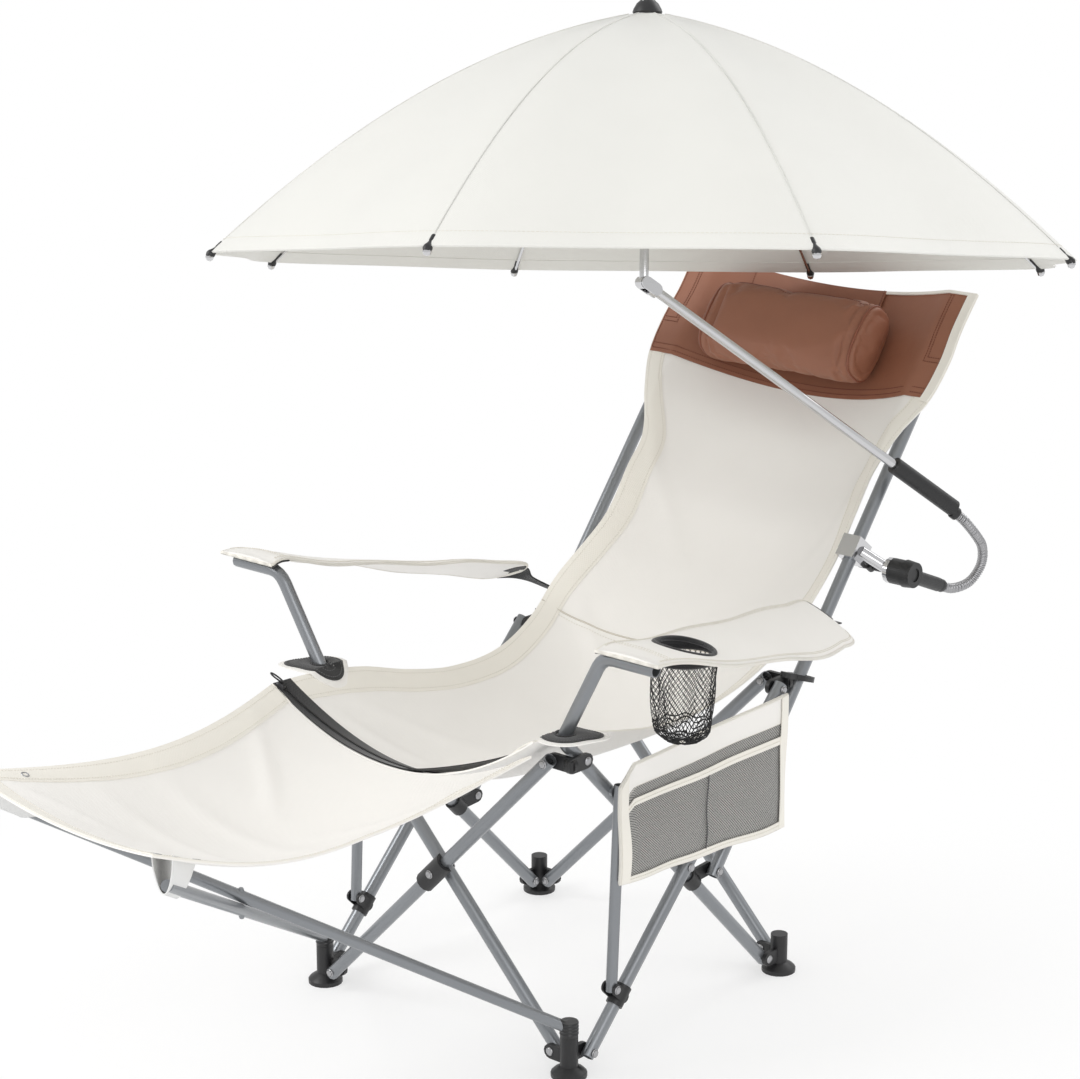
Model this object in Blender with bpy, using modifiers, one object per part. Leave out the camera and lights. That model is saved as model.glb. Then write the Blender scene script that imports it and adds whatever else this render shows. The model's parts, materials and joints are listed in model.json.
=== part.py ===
"""Folding lounge chair with a soft footrest, a side organizer and a clamp-on umbrella.

Metres, +Z up. The chair faces -Y and the sitter's left is +X. The frame is four crossed pairs of
tubes between four feet and four hubs, so the whole chair folds to a bundle. Run it in Blender 4.5.
"""

import math

import bmesh
import bpy
from mathutils import Matrix, Vector

# Clearances, fastenings and cutters
CLEARANCE = 0.0003
OVERRUN = 0.004
PIN_RADIUS = 0.003
PIN_HEAD_RADIUS = 0.0055
PIN_HEAD_HEIGHT = 0.0018
PIN_HEAD_SINK = 0.0005
SPACER_RADIUS = 0.0075

# Frame tubes
TUBE_RADIUS = 0.0095
TUBE_WALL = 0.0012
TUBE_TAIL = 0.008
THIN_TUBE_RADIUS = 0.008
THIN_TUBE_WALL = 0.001
BEND_RADIUS = 0.032

# Folding square: the feet and hubs stand this far from the middle, seen from above
HALF_SPAN = 0.235
PIVOT_INSET = 0.030
PLANE_OFFSET = 0.0105
PIVOT_HEIGHT = 0.028
OPEN_ANGLE = math.radians(45.5)

# Feet and hubs
FOOT_RADIUS = 0.025
FOOT_RIM_HEIGHT = 0.006
FOOT_STEP_RADIUS = 0.021
FOOT_STEP_HEIGHT = 0.010
SOCKET_RADIUS = 0.0125
SOCKET_FOOT_HEIGHT = 0.015
SOCKET_HEIGHT = 0.058
SOCKET_BORE = 0.0072
SOCKET_FLOOR = 0.018
LUG_RADIUS = 0.0105
LUG_THICKNESS = 0.0065
HUB_BLOCK = 0.0157
HUB_BLOCK_HEIGHT = 0.0137
EYE_BACK = 0.032
EYE_THICKNESS = 0.008
EYE_PLAY = 0.0009
EYE_WALL = 0.0045
EYE_SLOT = 0.0032
EYE_RUN = 0.0148
EYE_ARM_RADIUS = 0.0085

# Back posts and their brackets on the arm tubes
EAR_DOWN = 0.078
EAR_OUT = 0.033
BACK_TOP = 0.932
POST_TAIL = 0.009
POST_CAP_HEIGHT = 0.012
COLLAR_DOWN = 0.050
COLLAR_RADIUS = 0.0128
COLLAR_LENGTH = 0.024
EAR_RADIUS = 0.010
EAR_THICKNESS = 0.0055

# Struts that lock the side pairs, and their sliders
STRUT_UP = 0.207
STRUT_DOWN = 0.205
SLIDER_REACH = 0.022
SLIDER_RADIUS = 0.0122
SLIDER_LENGTH = 0.030
CHEEK_THICKNESS = 0.003
CHEEK_RADIUS = 0.0085
STRUT_TOP_TAIL = 0.012
STRUT_FOOT_TAIL = 0.004

# Arm rests
ARM_KINK = 0.048
ARM_BEND_X = 0.300
ARM_BEND_Y = -0.245
ARM_HEIGHT = 0.612
ARM_ROD_X = 0.388
ARM_CLOTH = 0.003
ARM_FRONT_WIDTH = 0.104
ARM_STRAP_WIDTH = 0.022
ARM_FRONT_OVERHANG = 0.016
ARM_REAR_X = 0.297
ARM_REAR_Y = 0.235
ARM_REAR_DROP = 0.060
ARM_REAR_HEIGHT = ARM_HEIGHT - ARM_REAR_DROP
ARM_STRAP_LENGTH = 0.062
ARM_SINK = 0.010
ARM_STATION_SHARES = (0.25, 0.53, 0.78, 1)
ARM_SINK_SHARES = (0.3, 0.3, 0.2, 0)
ARM_WIDTH_SHARES = (1.15, 1.24, 1.16, 0.76)
ARM_BOW = 0.024
ARM_BOW_SHARES = (0.5, 0.95, 1, 0.4)

# Saddle over the front crossing
SADDLE_RADIUS = 0.0155
SADDLE_LENGTH = 0.056
SADDLE_BACK = 0.002

# Foot rest
PLUG_RADIUS = 0.0068
KNOB_RADIUS = 0.0135
KNOB_HEIGHT = 0.022
KNOB_RIBS = 4
REST_RISE = 0.402
REST_REACH = 0.762
REST_ANGLE = math.radians(32.1)
REST_CROSS_GAP = 0.0190
REST_CLOTH = 0.0025
REST_EDGE_OVERHANG = 0.024
REST_LEFT_SAG = 0.078
REST_RIGHT_SAG = 0.028
REST_MIDDLE_SAG = 0.012
REST_FRONT_SAG = 0.016
REST_FRONT_SKEW = 0.018
REST_TIP_GAP = 0.004
REST_WAIST = 0.172
REST_ROWS = 13

# Seat and back sling, in shares of HALF_SPAN. A seat row is its edge's y, half width and height,
# and the drop of its middle. A back row is its edge's height and half width, the drop of its
# middle, and how far its edge lies before the post's axis.
SLING_CLOTH = 0.0025
SEAT_SKEW = 0.030
SEAT_SKEW_SHARES = (1, 0.5)
SEAT_ROW_SHARES = (
    (-1.340, 0.911, 2.068, 0.349),
    (-1.085, 0.911, 2.055, 0.430),
    (-0.766, 0.894, 2.010, 0.468),
    (-0.383, 0.855, 1.906, 0.400),
    (0.000, 0.838, 1.838, 0.340),
    (0.426, 0.851, 1.847, 0.332),
    (0.809, 0.902, 1.966, 0.340),
    (1.128, 0.951, 2.170, 0.357),
)
BACK_ROW_SHARES = (
    (2.468, 0.921, 0.366, 0.026),
    (2.766, 0.921, 0.357, 0.026),
    (2.979, 0.921, 0.336, 0.030),
    (3.200, 1.021, 0.302, 0.079),
    (3.404, 1.123, 0.277, 0.070),
    (3.617, 1.149, 0.247, 0.062),
    (3.813, 1.132, 0.213, 0.055),
    (4.017, 1.140, 0.187, 0.055),
)

# Head pillow
PILLOW_LENGTH = 0.325
PILLOW_RADIUS = 0.068
PILLOW_FLATNESS = 0.042
PILLOW_GAP = 0.0015
PILLOW_ROW_SHARE = 0.5
PILLOW_END_SHARE = 0.2
PILLOW_CROWN_SHARE = 0.35
PILLOW_STEPS = 18

# Cup holder and side organizer
CUP_RADIUS = 0.044
CUP_BOTTOM_RADIUS = 0.036
CUP_DEPTH = 0.120
CUP_WALL = 0.0018
CUP_X = 0.345
CUP_Y = -0.135
CUP_DROP = 0.0172
CUP_RIM = 0.0035
ORGANIZER_X = 0.257
ORGANIZER_CLOTH = 0.003
ORGANIZER_FRONT_Y = -0.160
ORGANIZER_REAR_Y = 0.205
ORGANIZER_TOP_FRONT = 0.425
ORGANIZER_TOP_REAR = 0.440
ORGANIZER_BOTTOM_FRONT = 0.262
ORGANIZER_BOTTOM_REAR = 0.240
POCKET_BULGE = 0.016
POCKET_TOP_SHARE = 0.35
POCKET_FLAT_SHARE = 0.3
PANEL_TOP_SHARE = 0.4

# Umbrella clamp on the left back post
CLAMP_HEIGHT = 0.608
JAW_WIDTH = 0.030
JAW_DEPTH = 0.036
JAW_LENGTH = 0.034
JAW_SLOT = 0.004
JAW_DISC_THICKNESS = 0.007
JAW_ARM_RADIUS = 0.009
SCREW_RADIUS = 0.0035
SCREW_LENGTH = 0.046
HANDLE_LENGTH = 0.040
HANDLE_RADIUS = 0.0045
SWIVEL_X = 0.300
SWIVEL_Y = 0.419
SWIVEL_HEIGHT = 0.582
SWIVEL_RADIUS = 0.019
SWIVEL_THICKNESS = 0.022
KNOB_DISC_RADIUS = 0.0205
KNOB_DISC_THICKNESS = 0.016
KNOB_TAPER_SHARE = 0.92
HANDLE_HUB_SHARE = 1.5
NECK_SLEEVE_RADIUS = 0.0105

# Gooseneck, grip and pole
NECK_ROUTE = (
    (0.300, 0.520, 0.541),
    (0.302, 0.555, 0.528),
    (0.309, 0.590, 0.532),
    (0.317, 0.607, 0.556),
    (0.324, 0.598, 0.586),
    (0.330, 0.570, 0.612),
)
NECK_START = Vector(NECK_ROUTE[0])
NECK_RADIUS = 0.0078
NECK_GROOVE_SHARE = 0.86
NECK_BORE = 0.0045
NECK_RIBS = 44
GRIP_RADIUS = 0.0125
GRIP_LENGTH = 0.125
GRIP_TOP = Vector((0.277, 0.430, 0.736))
POLE_RADIUS = 0.0070
POLE_WALL = 0.0010
POLE_GRIP_DEPTH = 0.100

# Canopy
CANOPY_RIM = Vector((0.095, 0.079, 1.060))
CANOPY_LEAN = Vector((-0.128, 0.161, 1.0))
CANOPY_TURN = math.radians(-120.3)
CANOPY_RADIUS = 0.600
CANOPY_RISE = 0.337
CANOPY_RIBS = 8
CANOPY_CLOTH = 0.0016
CANOPY_CURVE_SHARE = 0.62
CANOPY_HOLE_SHARE = 0.5
CANOPY_RINGS = 9
SCALLOP = 0.045
SHAFT_RADIUS = 0.0065
KNUCKLE_DROP = 0.030
KNUCKLE_RADIUS = 0.012
KNUCKLE_HALF = 0.0072
CHEEK_SHARE = 0.7
POLE_COLLAR_SHARE = 0.85
SHAFT_EYE_SHARE = 0.75
CROWN_RADIUS = 0.018
CROWN_HEIGHT = 0.014
CROWN_TOP_SHARE = 0.7
CROWN_NECK_SHARE = 0.55
CROWN_FOOT_SHARE = 0.72
FINIAL_RADIUS = 0.011
RIB_RADIUS = 0.0021
RIB_TIP_RADIUS = 0.0058
RIB_TIP_SHARE = 0.6
RIB_HINGE_RADIUS = 0.0135
STRETCHER_LENGTH = 0.160
STRETCHER_RADIUS = 0.0020
RUNNER_RADIUS = 0.0105
RUNNER_LENGTH = 0.030
RUNNER_RADIAL = 0.0135

TUBE_SIDES = 10
PIN_SIDES = 8
ROUND_SIDES = 14
BORE_SIDES = 16

GREY_STEEL = ((0.23, 0.245, 0.26), 0.32, 0.85)
CHROME = ((0.62, 0.62, 0.63), 0.12, 1.0)
BLACK_PLASTIC = ((0.018, 0.018, 0.02), 0.42, 0.0)
CREAM_CLOTH = ((0.86, 0.83, 0.76), 0.85, 0.0)
BROWN_CLOTH = ((0.30, 0.115, 0.065), 0.6, 0.0)
BLACK_NET = ((0.02, 0.02, 0.02), 0.8, 0.0)
CANOPY_FABRIC = ((0.82, 0.80, 0.73), 0.8, 0.0)

LEFT, RIGHT = 1, -1
X_AXIS, Y_AXIS, Z_AXIS = Vector((1, 0, 0)), Vector((0, 1, 0)), Vector((0, 0, 1))
SIDE_NAMES = {LEFT: "left", RIGHT: "right"}


# Scene, collections and materials


def clear_scene():
    """Removes what the startup file holds."""
    for obj in list(bpy.data.objects):
        bpy.data.objects.remove(obj)


def add_collection(name):
    made = bpy.data.collections.new(name)
    bpy.context.scene.collection.children.link(made)
    return made


def add_material(name, look):
    """A Principled material from (colour, roughness, metallic)."""
    colour, roughness, metallic = look
    made = bpy.data.materials.new(name)
    made.use_nodes = True
    shader = made.node_tree.nodes["Principled BSDF"]
    shader.inputs["Base Color"].default_value = (*colour, 1)
    shader.inputs["Roughness"].default_value = roughness
    shader.inputs["Metallic"].default_value = metallic
    return made


clear_scene()
PARTS = add_collection("umbrella_chair")
CUTTERS = add_collection("cutters")


# Mesh helpers


def add_object(name, mesh):
    made = bpy.data.objects.new(name, mesh)
    PARTS.objects.link(made)
    return made


def from_bmesh(name, bm):
    mesh = bpy.data.meshes.new(name)
    bmesh.ops.recalc_face_normals(bm, faces=bm.faces)
    bm.to_mesh(mesh)
    bm.free()
    return add_object(name, mesh)


def hide_as_cutter(obj):
    """Moves a tool solid out of the parts, where nothing renders it."""
    PARTS.objects.unlink(obj)
    CUTTERS.objects.link(obj)
    obj.hide_render = True
    obj.display_type = "WIRE"


def combine(target, other, operation):
    hide_as_cutter(other)
    modifier = target.modifiers.new(f"{operation.lower()} {other.name}", "BOOLEAN")
    modifier.operation = operation
    modifier.object = other


def fuse(target, *others):
    for other in others:
        combine(target, other, "UNION")


def cut(target, *others):
    for other in others:
        combine(target, other, "DIFFERENCE")


def turned_to(direction, origin=Vector()):
    """A matrix that stands local Z along direction at origin."""
    turn = Vector(direction).to_track_quat("Z", "Y").to_matrix().to_4x4()
    return Matrix.Translation(origin) @ turn


def axes_matrix(x_direction, y_direction, origin):
    """A matrix with the given local X and Y directions, made square."""
    x_unit = Vector(x_direction).normalized()
    z_unit = x_unit.cross(Vector(y_direction)).normalized()
    y_unit = z_unit.cross(x_unit)
    turn = Matrix((x_unit, y_unit, z_unit)).transposed().to_4x4()
    return Matrix.Translation(origin) @ turn


def rod(name, start, end, radius, end_radius=None, sides=ROUND_SIDES):
    """A solid round bar or cone between two points."""
    start, end = Vector(start), Vector(end)
    bm = bmesh.new()
    bmesh.ops.create_cone(
        bm,
        cap_ends=True,
        segments=sides,
        radius1=radius,
        radius2=radius if end_radius is None else end_radius,
        depth=(end - start).length,
        matrix=turned_to(end - start, (start + end) / 2),
    )
    return from_bmesh(name, bm)


def block(name, size, matrix):
    """A box of size (x, y, z) centred on matrix."""
    bm = bmesh.new()
    bmesh.ops.create_cube(bm, size=1, matrix=matrix @ Matrix.Diagonal((*size, 1)))
    return from_bmesh(name, bm)


def ball(name, centre, radius, sides=ROUND_SIDES):
    bm = bmesh.new()
    bmesh.ops.create_uvsphere(
        bm,
        u_segments=sides,
        v_segments=sides // 2,
        radius=radius,
        matrix=Matrix.Translation(centre),
    )
    return from_bmesh(name, bm)


def turned(name, profile, matrix, steps=ROUND_SIDES):
    """A profile of (radius, height) points, read down its outer side, turned about local Z."""
    mesh = bpy.data.meshes.new(name)
    points = [(radius, 0, height) for radius, height in profile]
    mesh.from_pydata(points, [(i, i + 1) for i in range(len(points) - 1)], [])
    made = add_object(name, mesh)
    made.matrix_world = matrix
    screw = made.modifiers.new("turn", "SCREW")
    screw.steps = steps
    screw.render_steps = steps
    screw.use_merge_vertices = True
    screw.merge_threshold = 1e-5
    return made


def curve_object(name, points, radius, sides, radii=None):
    """A POLY curve with a round bevel."""
    data = bpy.data.curves.new(name, "CURVE")
    data.dimensions = "3D"
    data.bevel_depth = radius
    data.bevel_resolution = sides // 2 - 2
    spline = data.splines.new("POLY")
    spline.points.add(len(points) - 1)
    for index, point in enumerate(points):
        spline.points[index].co = (*point, 1)
        spline.points[index].radius = radii[index] if radii else 1
    return add_object(name, data)


def as_mesh(curve):
    """The curve's evaluated mesh as an object of the same name, with welded caps."""
    bpy.context.view_layer.update()
    graph = bpy.context.evaluated_depsgraph_get()
    mesh = bpy.data.meshes.new_from_object(curve.evaluated_get(graph))
    name, place = curve.name, curve.matrix_world.copy()
    bpy.data.objects.remove(curve)
    bm = bmesh.new()
    bm.from_mesh(mesh)
    bmesh.ops.remove_doubles(bm, verts=bm.verts, dist=1e-6)
    bm.to_mesh(mesh)
    bm.free()
    made = add_object(name, mesh)
    made.matrix_world = place
    return made


def bar(name, points, radius, sides=TUBE_SIDES, radii=None):
    """A solid round bar along points."""
    curve = curve_object(name, points, radius, sides, radii)
    curve.data.use_fill_caps = True
    return as_mesh(curve)


def pipe(name, points, radius, wall, sides=TUBE_SIDES):
    """A hollow tube along points, open at both ends."""
    made = as_mesh(curve_object(name, points, radius, sides))
    shell = made.modifiers.new("wall", "SOLIDIFY")
    shell.thickness = wall
    shell.offset = -1
    return made


def plate(name, start, end, radius, normal, thickness, steps=6):
    """A flat link with round ends, from one pin centre to the other, centred on its plane."""
    start, end = Vector(start), Vector(end)
    data = bpy.data.curves.new(name, "CURVE")
    data.dimensions = "2D"
    data.fill_mode = "BOTH"
    data.extrude = thickness / 2
    length = (end - start).length
    outline = []
    for middle, first in ((length, -math.pi / 2), (0, math.pi / 2)):
        for step in range(steps + 1):
            angle = first + math.pi * step / steps
            outline.append((middle + radius * math.cos(angle), radius * math.sin(angle)))
    spline = data.splines.new("POLY")
    spline.points.add(len(outline) - 1)
    for index, (x, y) in enumerate(outline):
        spline.points[index].co = (x, y, 0, 1)
    spline.use_cyclic_u = True
    made = add_object(name, data)
    x_unit = (end - start).normalized()
    y_unit = Vector(normal).cross(x_unit)
    made.matrix_world = axes_matrix(x_unit, y_unit, start)
    return as_mesh(made)


def spool(name, point, axis, back, front, spacer=None):
    """A rivet along axis through point, with a head past each end and an optional (from, to) spacer."""
    head = PIN_HEAD_HEIGHT
    profile = [(0, front + head), (PIN_HEAD_RADIUS, front + head), (PIN_HEAD_RADIUS, front)]
    profile.append((PIN_RADIUS, front))
    if spacer:
        low, high = spacer
        profile += [(PIN_RADIUS, high), (SPACER_RADIUS, high), (SPACER_RADIUS, low), (PIN_RADIUS, low)]
    profile += [(PIN_RADIUS, back), (PIN_HEAD_RADIUS, back)]
    profile += [(PIN_HEAD_RADIUS, back - head), (0, back - head)]
    return turned(name, profile, turned_to(axis, Vector(point)), PIN_SIDES)


def half_rivet(name, point, axis, back, spacer):
    """A rivet's near half: the head past its back, its shank, and a (from, to) spacer that ends it."""
    low, high = spacer
    profile = [(0, high), (SPACER_RADIUS, high), (SPACER_RADIUS, low), (PIN_RADIUS, low)]
    profile += [(PIN_RADIUS, back), (PIN_HEAD_RADIUS, back)]
    profile += [(PIN_HEAD_RADIUS, back - PIN_HEAD_HEIGHT), (0, back - PIN_HEAD_HEIGHT)]
    return turned(name, profile, turned_to(axis, Vector(point)), PIN_SIDES)


def far_head(name, point, outward, radius):
    """The head of a rivet on the outer side of a tube of the given radius."""
    inner, outer = point + outward * radius / 2, point + outward * (radius + 2 * PIN_HEAD_HEIGHT)
    return rod(name, inner, outer, PIN_HEAD_RADIUS, PIN_RADIUS, PIN_SIDES)


def pin_hole(name, point, axis, reach):
    """The cutter of a rivet's clearance hole."""
    axis = Vector(axis).normalized()
    point = Vector(point)
    radius = PIN_RADIUS + CLEARANCE
    return rod(name, point - axis * reach, point + axis * reach, radius, sides=PIN_SIDES)


def rounded_route(corners, radius, steps=4):
    """The corner points with each inner corner replaced by an arc."""
    corners = [Vector(corner) for corner in corners]
    route = [corners[0]]
    for before, corner, after in zip(corners, corners[1:], corners[2:]):
        into = (corner - before).normalized()
        out = (after - corner).normalized()
        turn = into.angle(out)
        tangent = radius * math.tan(turn / 2)
        inward = (out - into).normalized()
        centre = corner + inward * (radius / math.cos(turn / 2))
        first = corner - into * tangent - centre
        axis = into.cross(out).normalized()
        for step in range(steps + 1):
            route.append(centre + Matrix.Rotation(turn * step / steps, 3, axis) @ first)
    route.append(corners[-1])
    return route


def smooth_route(points, count):
    """Points read at even steps from a Catmull-Rom curve through the given ones."""
    points = [Vector(point) for point in points]
    ends = [2 * points[0] - points[1], *points, 2 * points[-1] - points[-2]]
    dense = []
    for index in range(1, len(ends) - 2):
        a, b, c, d = ends[index - 1 : index + 3]
        for step in range(40):
            t = step / 40
            dense.append(
                0.5 * (2 * b + (c - a) * t + (2 * a - 5 * b + 4 * c - d) * t**2)
                + 0.5 * (3 * b - a - 3 * c + d) * t**3
            )
    dense.append(points[-1])
    lengths = [0.0]
    for before, after in zip(dense, dense[1:]):
        lengths.append(lengths[-1] + (after - before).length)
    route, at = [], 0
    for step in range(count):
        wanted = lengths[-1] * step / (count - 1)
        while at < len(dense) - 2 and lengths[at + 1] < wanted:
            at += 1
        span = lengths[at + 1] - lengths[at]
        route.append(dense[at].lerp(dense[at + 1], (wanted - lengths[at]) / span))
    return route


def sheet(name, rows, thickness, closed=False):
    """A cloth through rows of points, thickened evenly to both sides."""
    bm = bmesh.new()
    grid = [[bm.verts.new(point) for point in row] for row in rows]
    count = len(rows[0])
    for low, high in zip(grid, grid[1:]):
        for index in range(count if closed else count - 1):
            after = (index + 1) % count
            bm.faces.new((low[index], low[after], high[after], high[index]))
    made = from_bmesh(name, bm)
    cloth = made.modifiers.new("cloth", "SOLIDIFY")
    cloth.thickness = thickness
    cloth.offset = 0
    return made


# Joints and bodies


def joint_empty(name, place, parent=None):
    """The empty on a joint's axis that carries its body."""
    empty = bpy.data.objects.new(f"axis_{name}", None)
    PARTS.objects.link(empty)
    empty.location = place
    empty.empty_display_size = HALF_SPAN / 10
    bpy.context.view_layer.update()
    if parent:
        empty.parent = parent
        empty.matrix_parent_inverse = parent.matrix_world.inverted()
        bpy.context.view_layer.update()
    return empty


def finish(obj, look, empty):
    """Gives a part its material and its body."""
    name = "_".join(f"{round(value * 100):02d}" for value in look[0])
    material = bpy.data.materials.get(f"finish_{name}") or add_material(f"finish_{name}", look)
    obj.data.materials.clear()
    obj.data.materials.append(material)
    obj.parent = empty
    obj.matrix_parent_inverse = empty.matrix_world.inverted()
    return obj


# Places that the frame's pieces share

TUBE_SPAN = 2 * (HALF_SPAN - PIVOT_INSET)
TUBE_LENGTH = TUBE_SPAN / math.cos(OPEN_ANGLE)
HUB_HEIGHT = PIVOT_HEIGHT + TUBE_LENGTH * math.sin(OPEN_ANGLE)
CROSS_HEIGHT = (PIVOT_HEIGHT + HUB_HEIGHT) / 2
PIVOT_Y = HALF_SPAN - PIVOT_INSET
SIDE_X = HALF_SPAN + PLANE_OFFSET
ARM_X = HALF_SPAN - PLANE_OFFSET
LUG_SHIFT = PLANE_OFFSET - TUBE_RADIUS - CLEARANCE - LUG_THICKNESS / 2
TUBE_GAP = PLANE_OFFSET - TUBE_RADIUS
DOWN_ARM = Vector((0, math.cos(OPEN_ANGLE), -math.sin(OPEN_ANGLE)))
UP_SIDE = Vector((0, math.cos(OPEN_ANGLE), math.sin(OPEN_ANGLE)))
ARM_NORMAL = Vector((0, math.sin(OPEN_ANGLE), math.cos(OPEN_ANGLE)))
SIDE_NORMAL = Vector((0, -math.sin(OPEN_ANGLE), math.cos(OPEN_ANGLE)))


def side_point(x, y, z, side):
    return Vector((x * side, y, z))


def crossing(x, side):
    return side_point(x, 0, CROSS_HEIGHT, side)


def ear_point(side):
    return crossing(HALF_SPAN, side) + DOWN_ARM * EAR_DOWN + ARM_NORMAL * EAR_OUT


def eye_point(side):
    return side_point(HALF_SPAN, HALF_SPAN + EYE_BACK, HUB_HEIGHT, side)


def post_direction():
    return (eye_point(LEFT) - ear_point(LEFT)).normalized()


def post_at(height, side):
    """The point of the back post's axis at a height."""
    start, along = ear_point(side), post_direction()
    return start + along * ((height - start.z) / along.z)


# Feet, hubs and tubes


def lug_parts(name, corner, along, outward):
    """The lug and rivet that hold one tube at a foot or hub, and the tube's pivot."""
    pivot = corner + along * PIVOT_INSET + outward * PLANE_OFFSET
    root = corner + outward * LUG_SHIFT
    lug = plate(f"{name} lug", root, root + along * PIVOT_INSET, LUG_RADIUS, outward, LUG_THICKNESS)
    back = PIN_HEAD_SINK - TUBE_RADIUS - CLEARANCE - LUG_THICKNESS
    rivet = spool(f"{name} rivet", pivot, outward, back, TUBE_RADIUS + CLEARANCE)
    return lug, rivet


def make_foot(x_side, y_side, cross_outward, side_outward, empty):
    """A foot: a turned base with a lug for each of its two tubes, and at the front a socket."""
    name = f"foot_{'front' if y_side < 0 else 'rear'}_{SIDE_NAMES[x_side]}"
    ground = Vector((HALF_SPAN * x_side, HALF_SPAN * y_side, 0))
    profile = [
        (0, SOCKET_HEIGHT),
        (SOCKET_RADIUS, SOCKET_HEIGHT),
        (SOCKET_RADIUS, SOCKET_FOOT_HEIGHT),
        (FOOT_STEP_RADIUS, FOOT_STEP_HEIGHT),
        (FOOT_RADIUS, FOOT_RIM_HEIGHT),
        (FOOT_RADIUS, 0),
        (0, 0),
    ]
    foot = turned(name, profile, Matrix.Translation(ground), 18)
    corner = ground + Z_AXIS * PIVOT_HEIGHT
    across = X_AXIS * -x_side
    along = Y_AXIS * -y_side
    fuse(foot, *lug_parts(f"{name} cross", corner, across, cross_outward))
    fuse(foot, *lug_parts(f"{name} side", corner, along, side_outward))
    if y_side < 0:
        top = ground + Z_AXIS * (SOCKET_HEIGHT + OVERRUN)
        cut(foot, rod(f"{name} socket", ground + Z_AXIS * SOCKET_FLOOR, top, SOCKET_BORE))
    return finish(foot, BLACK_PLASTIC, empty)


def make_front_hub(side, cross_outward, empty):
    """The level hub that joins an arm tube to a front cross tube, with its cap under the seat."""
    name = f"front_hub_{SIDE_NAMES[side]}"
    corner = side_point(HALF_SPAN, -HALF_SPAN, HUB_HEIGHT, side)
    half = Z_AXIS * HUB_BLOCK_HEIGHT / 2
    hub = rod(name, corner - half, corner + half, HUB_BLOCK / 2)
    fuse(hub, *lug_parts(f"{name} cross", corner, X_AXIS * -side, cross_outward))
    fuse(hub, *lug_parts(f"{name} side", corner, Y_AXIS, X_AXIS * -side))
    return finish(hub, BLACK_PLASTIC, empty)


def make_rear_hub(side, cross_outward, empty):
    """The level hub that joins a side tube to a rear cross tube and guides the back post."""
    name = f"rear_hub_{SIDE_NAMES[side]}"
    corner = side_point(HALF_SPAN, HALF_SPAN, HUB_HEIGHT, side)
    hub = block(name, (HUB_BLOCK, LUG_THICKNESS, HUB_BLOCK_HEIGHT), Matrix.Translation(corner))
    fuse(hub, *lug_parts(f"{name} cross", corner, X_AXIS * -side, cross_outward))
    fuse(hub, *lug_parts(f"{name} side", corner, -Y_AXIS, X_AXIS * side))
    middle = (post_direction() + Z_AXIS).normalized()
    ahead = X_AXIS.cross(middle).normalized()
    eye = eye_point(side)
    near, far = eye + ahead * EYE_SLOT, eye - ahead * EYE_RUN
    outer_radius = TUBE_RADIUS + EYE_PLAY + EYE_WALL
    ring = plate(f"{name} eye", far, near, outer_radius, middle, EYE_THICKNESS)
    front = eye + ahead * EYE_BACK
    arm = plate(f"{name} arm", eye, front, EYE_ARM_RADIUS, middle, EYE_THICKNESS)
    fuse(hub, arm, ring)
    slot = plate(
        f"{name} slot",
        far,
        near,
        TUBE_RADIUS + EYE_PLAY,
        middle,
        EYE_THICKNESS + 4 * OVERRUN,
        BORE_SIDES // 2,
    )
    cut(hub, slot)
    return finish(hub, BLACK_PLASTIC, empty)


def straight_tube(name, low, high, holes):
    """A drilled tube with a short tail past each end pivot."""
    along = (high - low).normalized()
    ends = [low - along * TUBE_TAIL, high + along * TUBE_TAIL]
    tube = pipe(name, ends, TUBE_RADIUS, TUBE_WALL)
    for index, (point, axis) in enumerate(holes):
        cut(tube, pin_hole(f"{name} hole {index}", point, axis, 2 * TUBE_RADIUS))
    return tube


def make_cross_tube(name, rising_side, y, holes, empty):
    """A front or rear cross tube that rises towards one side."""
    low = Vector((-PIVOT_Y * rising_side, y, PIVOT_HEIGHT))
    high = Vector((PIVOT_Y * rising_side, y, HUB_HEIGHT))
    drilled = [(low, Y_AXIS), (high, Y_AXIS), *holes]
    tube = straight_tube(name, low, high, drilled)
    return finish(tube, GREY_STEEL, empty)


def cross_rivet(name, point, axis):
    """The rivet of a crossing, headed past both tubes, with the washer that parts them."""
    reach = PLANE_OFFSET + TUBE_RADIUS + CLEARANCE
    washer = (-TUBE_GAP - CLEARANCE, TUBE_GAP - CLEARANCE)
    return spool(name, point, axis, -reach, reach, washer)


def make_side_tube(side, empty):
    """The outboard side tube, from front foot to rear hub, with the side crossing's rivet."""
    name = f"side_tube_{SIDE_NAMES[side]}"
    low = side_point(SIDE_X, -PIVOT_Y, PIVOT_HEIGHT, side)
    high = side_point(SIDE_X, PIVOT_Y, HUB_HEIGHT, side)
    tube = straight_tube(name, low, high, [(low, X_AXIS), (high, X_AXIS)])
    fuse(tube, cross_rivet(f"{name} rivet", crossing(HALF_SPAN, side), X_AXIS * -side))
    return finish(tube, GREY_STEEL, empty)


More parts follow.
